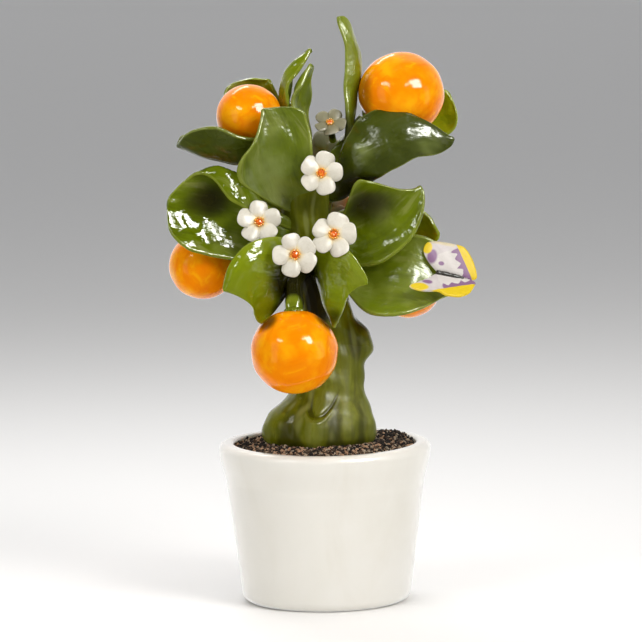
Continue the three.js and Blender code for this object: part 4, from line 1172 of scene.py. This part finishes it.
# A wing: its smooth outline shrinks towards a middle point, ring by ring, over the top and back
# under it. Its thickness falls off only near the rim, and it bows a little outwards.
def makeWing(name, wing):
    b = butterfly
    head, tail = np.array(b["head"], float), np.array(b["tail"], float)
    along = unit(tail - head)
    out = np.array(wing["outward"], float)
    out = unit(out - out @ along * along)
    loop = curveAt(wing["outline"] + wing["outline"][:1], np.arange(b["around"]) / b["around"])
    shares = np.sin(np.pi / 2 * np.linspace(b["pole"], 1, b["rings"]))
    scale = np.concatenate([shares, shares[-2::-1]])[:, None]
    side = np.sign(b["rings"] - 1 - np.arange(len(scale)))[:, None]
    middle = loop.mean(0)
    flat = middle + (loop - middle) * scale[..., None] * b["inset"]
    s, w = flat[..., 0], flat[..., 1]
    thick = b["wingThickness"] / 2 * np.sqrt(np.clip(1 - scale**9, 0, 1))
    bow = b["bow"] * np.cos(np.pi * (w - b["bowMiddle"]) / b["bowLength"]) - b["bowDrop"]
    height = bow + side * thick + b["ripple"] * np.sin(s * 0.9) * np.sin(w * 0.7)
    local = np.stack([s - wing.get("sweep", 0) * w, w, height], -1)
    rings = head + local @ np.stack([along, out, np.cross(along, out)])
    marks = wingMarks(wing, s, w)
    marks = {mark: np.append(paint, [paint[0].mean(), paint[-1].mean()]) for mark, paint in marks.items()}
    addRings(name + "_painted", rings, glazes["wingGlaze"], "wing_glaze", [name], withPoles(flat / 5), marks)


# The wings, and the body: a slim dark spindle along the line from head to tail, pinched twice.
def makeButterfly():
    b = butterfly
    for name, wing in wings.items():
        makeWing(name, wing)
    head, tail = np.array(b["head"], float), np.array(b["tail"], float)
    shares = np.linspace(0.02, 0.98, b["bodyRings"])
    line = head + (tail - head) * shares[:, None]
    rings = limbRings([head, (head + tail) / 2, tail], b["girth"], b["bodyRings"], b["bodyAround"])
    girthWave = b["waist"] + b["bulge"] * np.abs(np.cos(shares * b["pinching"])) ** 0.5
    girthWave *= np.sqrt(np.clip(1 - (2 * shares - 1) ** 8, 0, 1))
    rings = line[:, None] + (rings - rings.mean(1, keepdims=True)) * girthWave[:, None, None] + b["bodyShift"]
    addRings("butterfly_body_painted", rings, glazes["bodyGlaze"], "wing_glaze", ["butterfly_body"])


makeButterfly()
print("butterfly made")


# Soil

soil = {
    "level": 79.4, "radius": 46.2, "wall": [(2, 7.3), (35.5, 7.3), (45.2, 66), (46.2, 77)], "mound": 2.0,
    "heap": 3.0, "heapAt": (34, 17), "heapSpread": 11, "moundReach": (45, 31), "swelling": 0.35,
    "swellLength": 14, "wallGap": 0.3, "backFrom": -42, "backTo": 5, "lumpiness": 0.16, "topRings": 40,
    "around": 120, "grains": 5600, "smallest": 0.48, "largest": 1.12, "squash": (0.6, 1.25),
    "lifts": (-0.2, 0.8), "ball": (3, 5), "innerRadius": 20, "trunkAt": (-2.5, -1), "trunkRadius": 25.3,
}
grainKinds = {
    # front is the share of the kind that is left out towards the back
    "dark": dict(dark=(0.004, 0.003, 0.002), light=(0.022, 0.016, 0.012), share=0.5, front=0.0),
    "brown": dict(dark=(0.035, 0.021, 0.013), light=(0.12, 0.075, 0.045), share=0.26, front=0.3),
    "grey": dict(dark=(0.2, 0.15, 0.105), light=(0.5, 0.41, 0.29), share=0.1, front=0.5),
    "pink": dict(dark=(0.3, 0.17, 0.1), light=(0.55, 0.36, 0.22), share=0.14, front=0.75),
}


# The soil's height at a place: flat, with a low mound towards the trunk, a heap behind it on the
# right, and slow swells.
def soilHeight(x, y):
    s = soil
    away = np.hypot(x, y)
    ground = np.stack([x, y, 0 * x], -1)
    heap = s["heap"] * bell(np.hypot(x - s["heapAt"][0], y - s["heapAt"][1]), s["heapSpread"])
    mound = s["mound"] * smoothStep(away, *s["moundReach"])
    return s["level"] + mound + heap + s["swelling"] * swells(ground, s["swellLength"], 8)


# The bed: turned along the pot's wall from the floor up, and shaped by the soil's height on top.
def makeSoilBed():
    wall = np.array(soil["wall"])
    radius = np.concatenate([wall[:, 0], np.linspace(soil["radius"], 1, soil["topRings"])])[:, None]
    rings = roundRings(radius, roundTurns(soil["around"]), 0.0)
    rings[..., 2] = soilHeight(rings[..., 0], rings[..., 1])
    rings[: len(wall), :, 2] = wall[:, 1:]
    addRings("soil_bed", rings, grainFinishes["dark"], "soil", ["soil"])


# Grains: squashed balls of a few faces, each turned its own way, strewn evenly over the ring of
# soil between the trunk and the pot's wall and sunk by about half their height.
def makeGrains(kind, look, seed):
    s = soil
    count = int(s["grains"] * look["share"])
    rng = np.random.default_rng(seed)
    ball = ballPoints(*s["ball"])
    away = np.sqrt(rng.uniform(s["innerRadius"] ** 2, (s["radius"] - s["wallGap"]) ** 2, count * 3))
    turn = rng.uniform(0, fullTurn, count * 3)
    x, y = away * np.cos(turn), away * np.sin(turn)
    trunkX, trunkY = s["trunkAt"]
    facing = np.degrees(np.arctan2(y - trunkY, x - trunkX)) % 360
    bark = s["trunkRadius"] + barkRelief(facing, np.full_like(facing, s["level"] + 3))
    free = np.hypot(x - trunkX, y - trunkY) > bark
    free &= rng.uniform(size=len(x)) < 1 - look["front"] * smoothStep(y, s["backFrom"], s["backTo"])
    x, y = x[free][:count], y[free][:count]
    size = rng.uniform(s["smallest"], s["largest"], len(x))
    middle = np.stack([x, y, soilHeight(x, y) + size * rng.uniform(*s["lifts"], len(x))], -1)
    squash = rng.uniform(*s["squash"], (len(x), 1, 3))
    a = unit(rng.normal(size=(len(x), 3)))
    b = unit(np.cross(a, rng.normal(size=(len(x), 3))))
    axes = np.stack([a, b, np.cross(a, b)], 1)
    lumps = 1 + s["lumpiness"] * rng.normal(size=(len(x), len(ball), 1))
    shapes = np.einsum("nij,njk->nik", ball * squash * lumps, axes) * size[:, None, None] + middle[:, None]
    addPiece("soil_grains_" + kind, *joinedRings(list(shapes), *s["ball"]), grainFinishes[kind], "soil")


grainFinishes = {
    kind: grainFinish("grain " + kind, look["dark"], look["light"]) for kind, look in grainKinds.items()
}
makeSoilBed()
makeAll("kinds of grain", makeGrains, grainKinds, 120)


# Floor, light and camera

studio = {
    "floorSize": 120.0,
    "floorColour": (0.86, 0.85, 0.84),
    "frontAir": (0.07, 0.07, 0.07),
    "backAir": (1.15, 1.16, 1.18),
    "aim": (0, 0, 0.16),
    "softboxes": {
        # place, width, height, power in watts, colour, lights the glaze, seen in the glaze
        "key": ((0.60, -0.66, 0.74), 0.42, 0.42, 6.7, (1, 0.98, 0.95), True, False),
        "window": ((0.50, -0.54, 0.64), 0.36, 0.44, 21, (1, 1, 0.98), False, True),
        "spark": ((0.275, -0.73, 0.74), 0.14, 0.12, 1.2, (1, 1, 0.98), False, True),
        "side": ((-0.40, -0.43, 0.56), 0.17, 0.10, 1.2, (1, 1, 0.98), False, True),
        "back": ((-0.24, 0.55, 0.85), 0.5, 0.16, 2.4, (1, 1, 1), True, True),
        "fill": ((-1.1, -0.9, 0.75), 1.0, 1.0, 9.0, (1, 0.99, 0.97), True, False),
        "leftCard": ((-1.0, -0.72, 0.22), 0.34, 0.9, 1.1, (1, 0.99, 0.95), False, True),
        "rightCard": ((1.15, -0.42, 0.22), 0.4, 0.9, 1.4, (1, 0.99, 0.95), False, True),
        "overhead": ((0.0, -0.2, 1.6), 0.8, 0.8, 10.5, (1, 0.99, 0.97), True, False),
    },
}
view = {
    "target": (-0.0011, 0, 0.1437), "elevation": 6.0, "distance": 1.8, "roll": -0.8, "pictureWidth": 0.3287,
}


def makeStudio():
    half = studio["floorSize"] / 2
    mesh = bpy.data.meshes.new("floor")
    corners = [(-half, -half, 0), (half, -half, 0), (half, half, 0), (-half, half, 0)]
    mesh.from_pydata(corners, [], [(0, 1, 2, 3)])
    floor = addObject("floor", mesh)
    material, tree, shader = addMaterial("pale floor")
    shader["Base Color"].default_value = (*studio["floorColour"], 1)
    shader["Roughness"].default_value = 0.6
    mesh.materials.append(material)
    floor.visible_glossy = False
    world = bpy.data.worlds.new("studio air")
    world.use_nodes = True
    tree = world.node_tree
    depth = addNode(tree, "SeparateXYZ", {0: addNode(tree, "TexCoord").outputs["Generated"]}).outputs["Y"]
    air = mixed(tree, maskOf(tree, depth, 0.1, 0.9), (*studio["frontAir"], 1), (*studio["backAir"], 1))
    tree.links.new(air, tree.nodes["Background"].inputs["Color"])
    bpy.context.scene.world = world
    for name, (place, width, height, power, colour, lights, seen) in studio["softboxes"].items():
        light = bpy.data.lights.new(name, "AREA")
        light.shape = "RECTANGLE"
        light.size, light.size_y = width, height
        light.energy = power
        light.color = colour
        box = addObject(name, light)
        box.location = place
        box.visible_diffuse = lights
        box.visible_glossy = seen
        box.rotation_mode = "QUATERNION"
        box.rotation_quaternion = (Vector(studio["aim"]) - Vector(place)).to_track_quat("-Z", "Y")
    bpy.context.scene.view_settings.view_transform = "Standard"


def makeCamera():
    data = bpy.data.cameras.new("camera")
    data.lens = data.sensor_width * view["distance"] / view["pictureWidth"]
    camera = addObject("camera", data)
    rise = math.radians(view["elevation"])
    back = Vector((0, -math.cos(rise), math.sin(rise)))
    camera.location = Vector(view["target"]) + back * view["distance"]
    camera.rotation_mode = "QUATERNION"
    roll = Quaternion((0, 0, 1), math.radians(view["roll"]))
    camera.rotation_quaternion = (-back).to_track_quat("-Z", "Y") @ roll
    bpy.context.scene.camera = camera


makeStudio()
makeCamera()
print("studio and camera made")
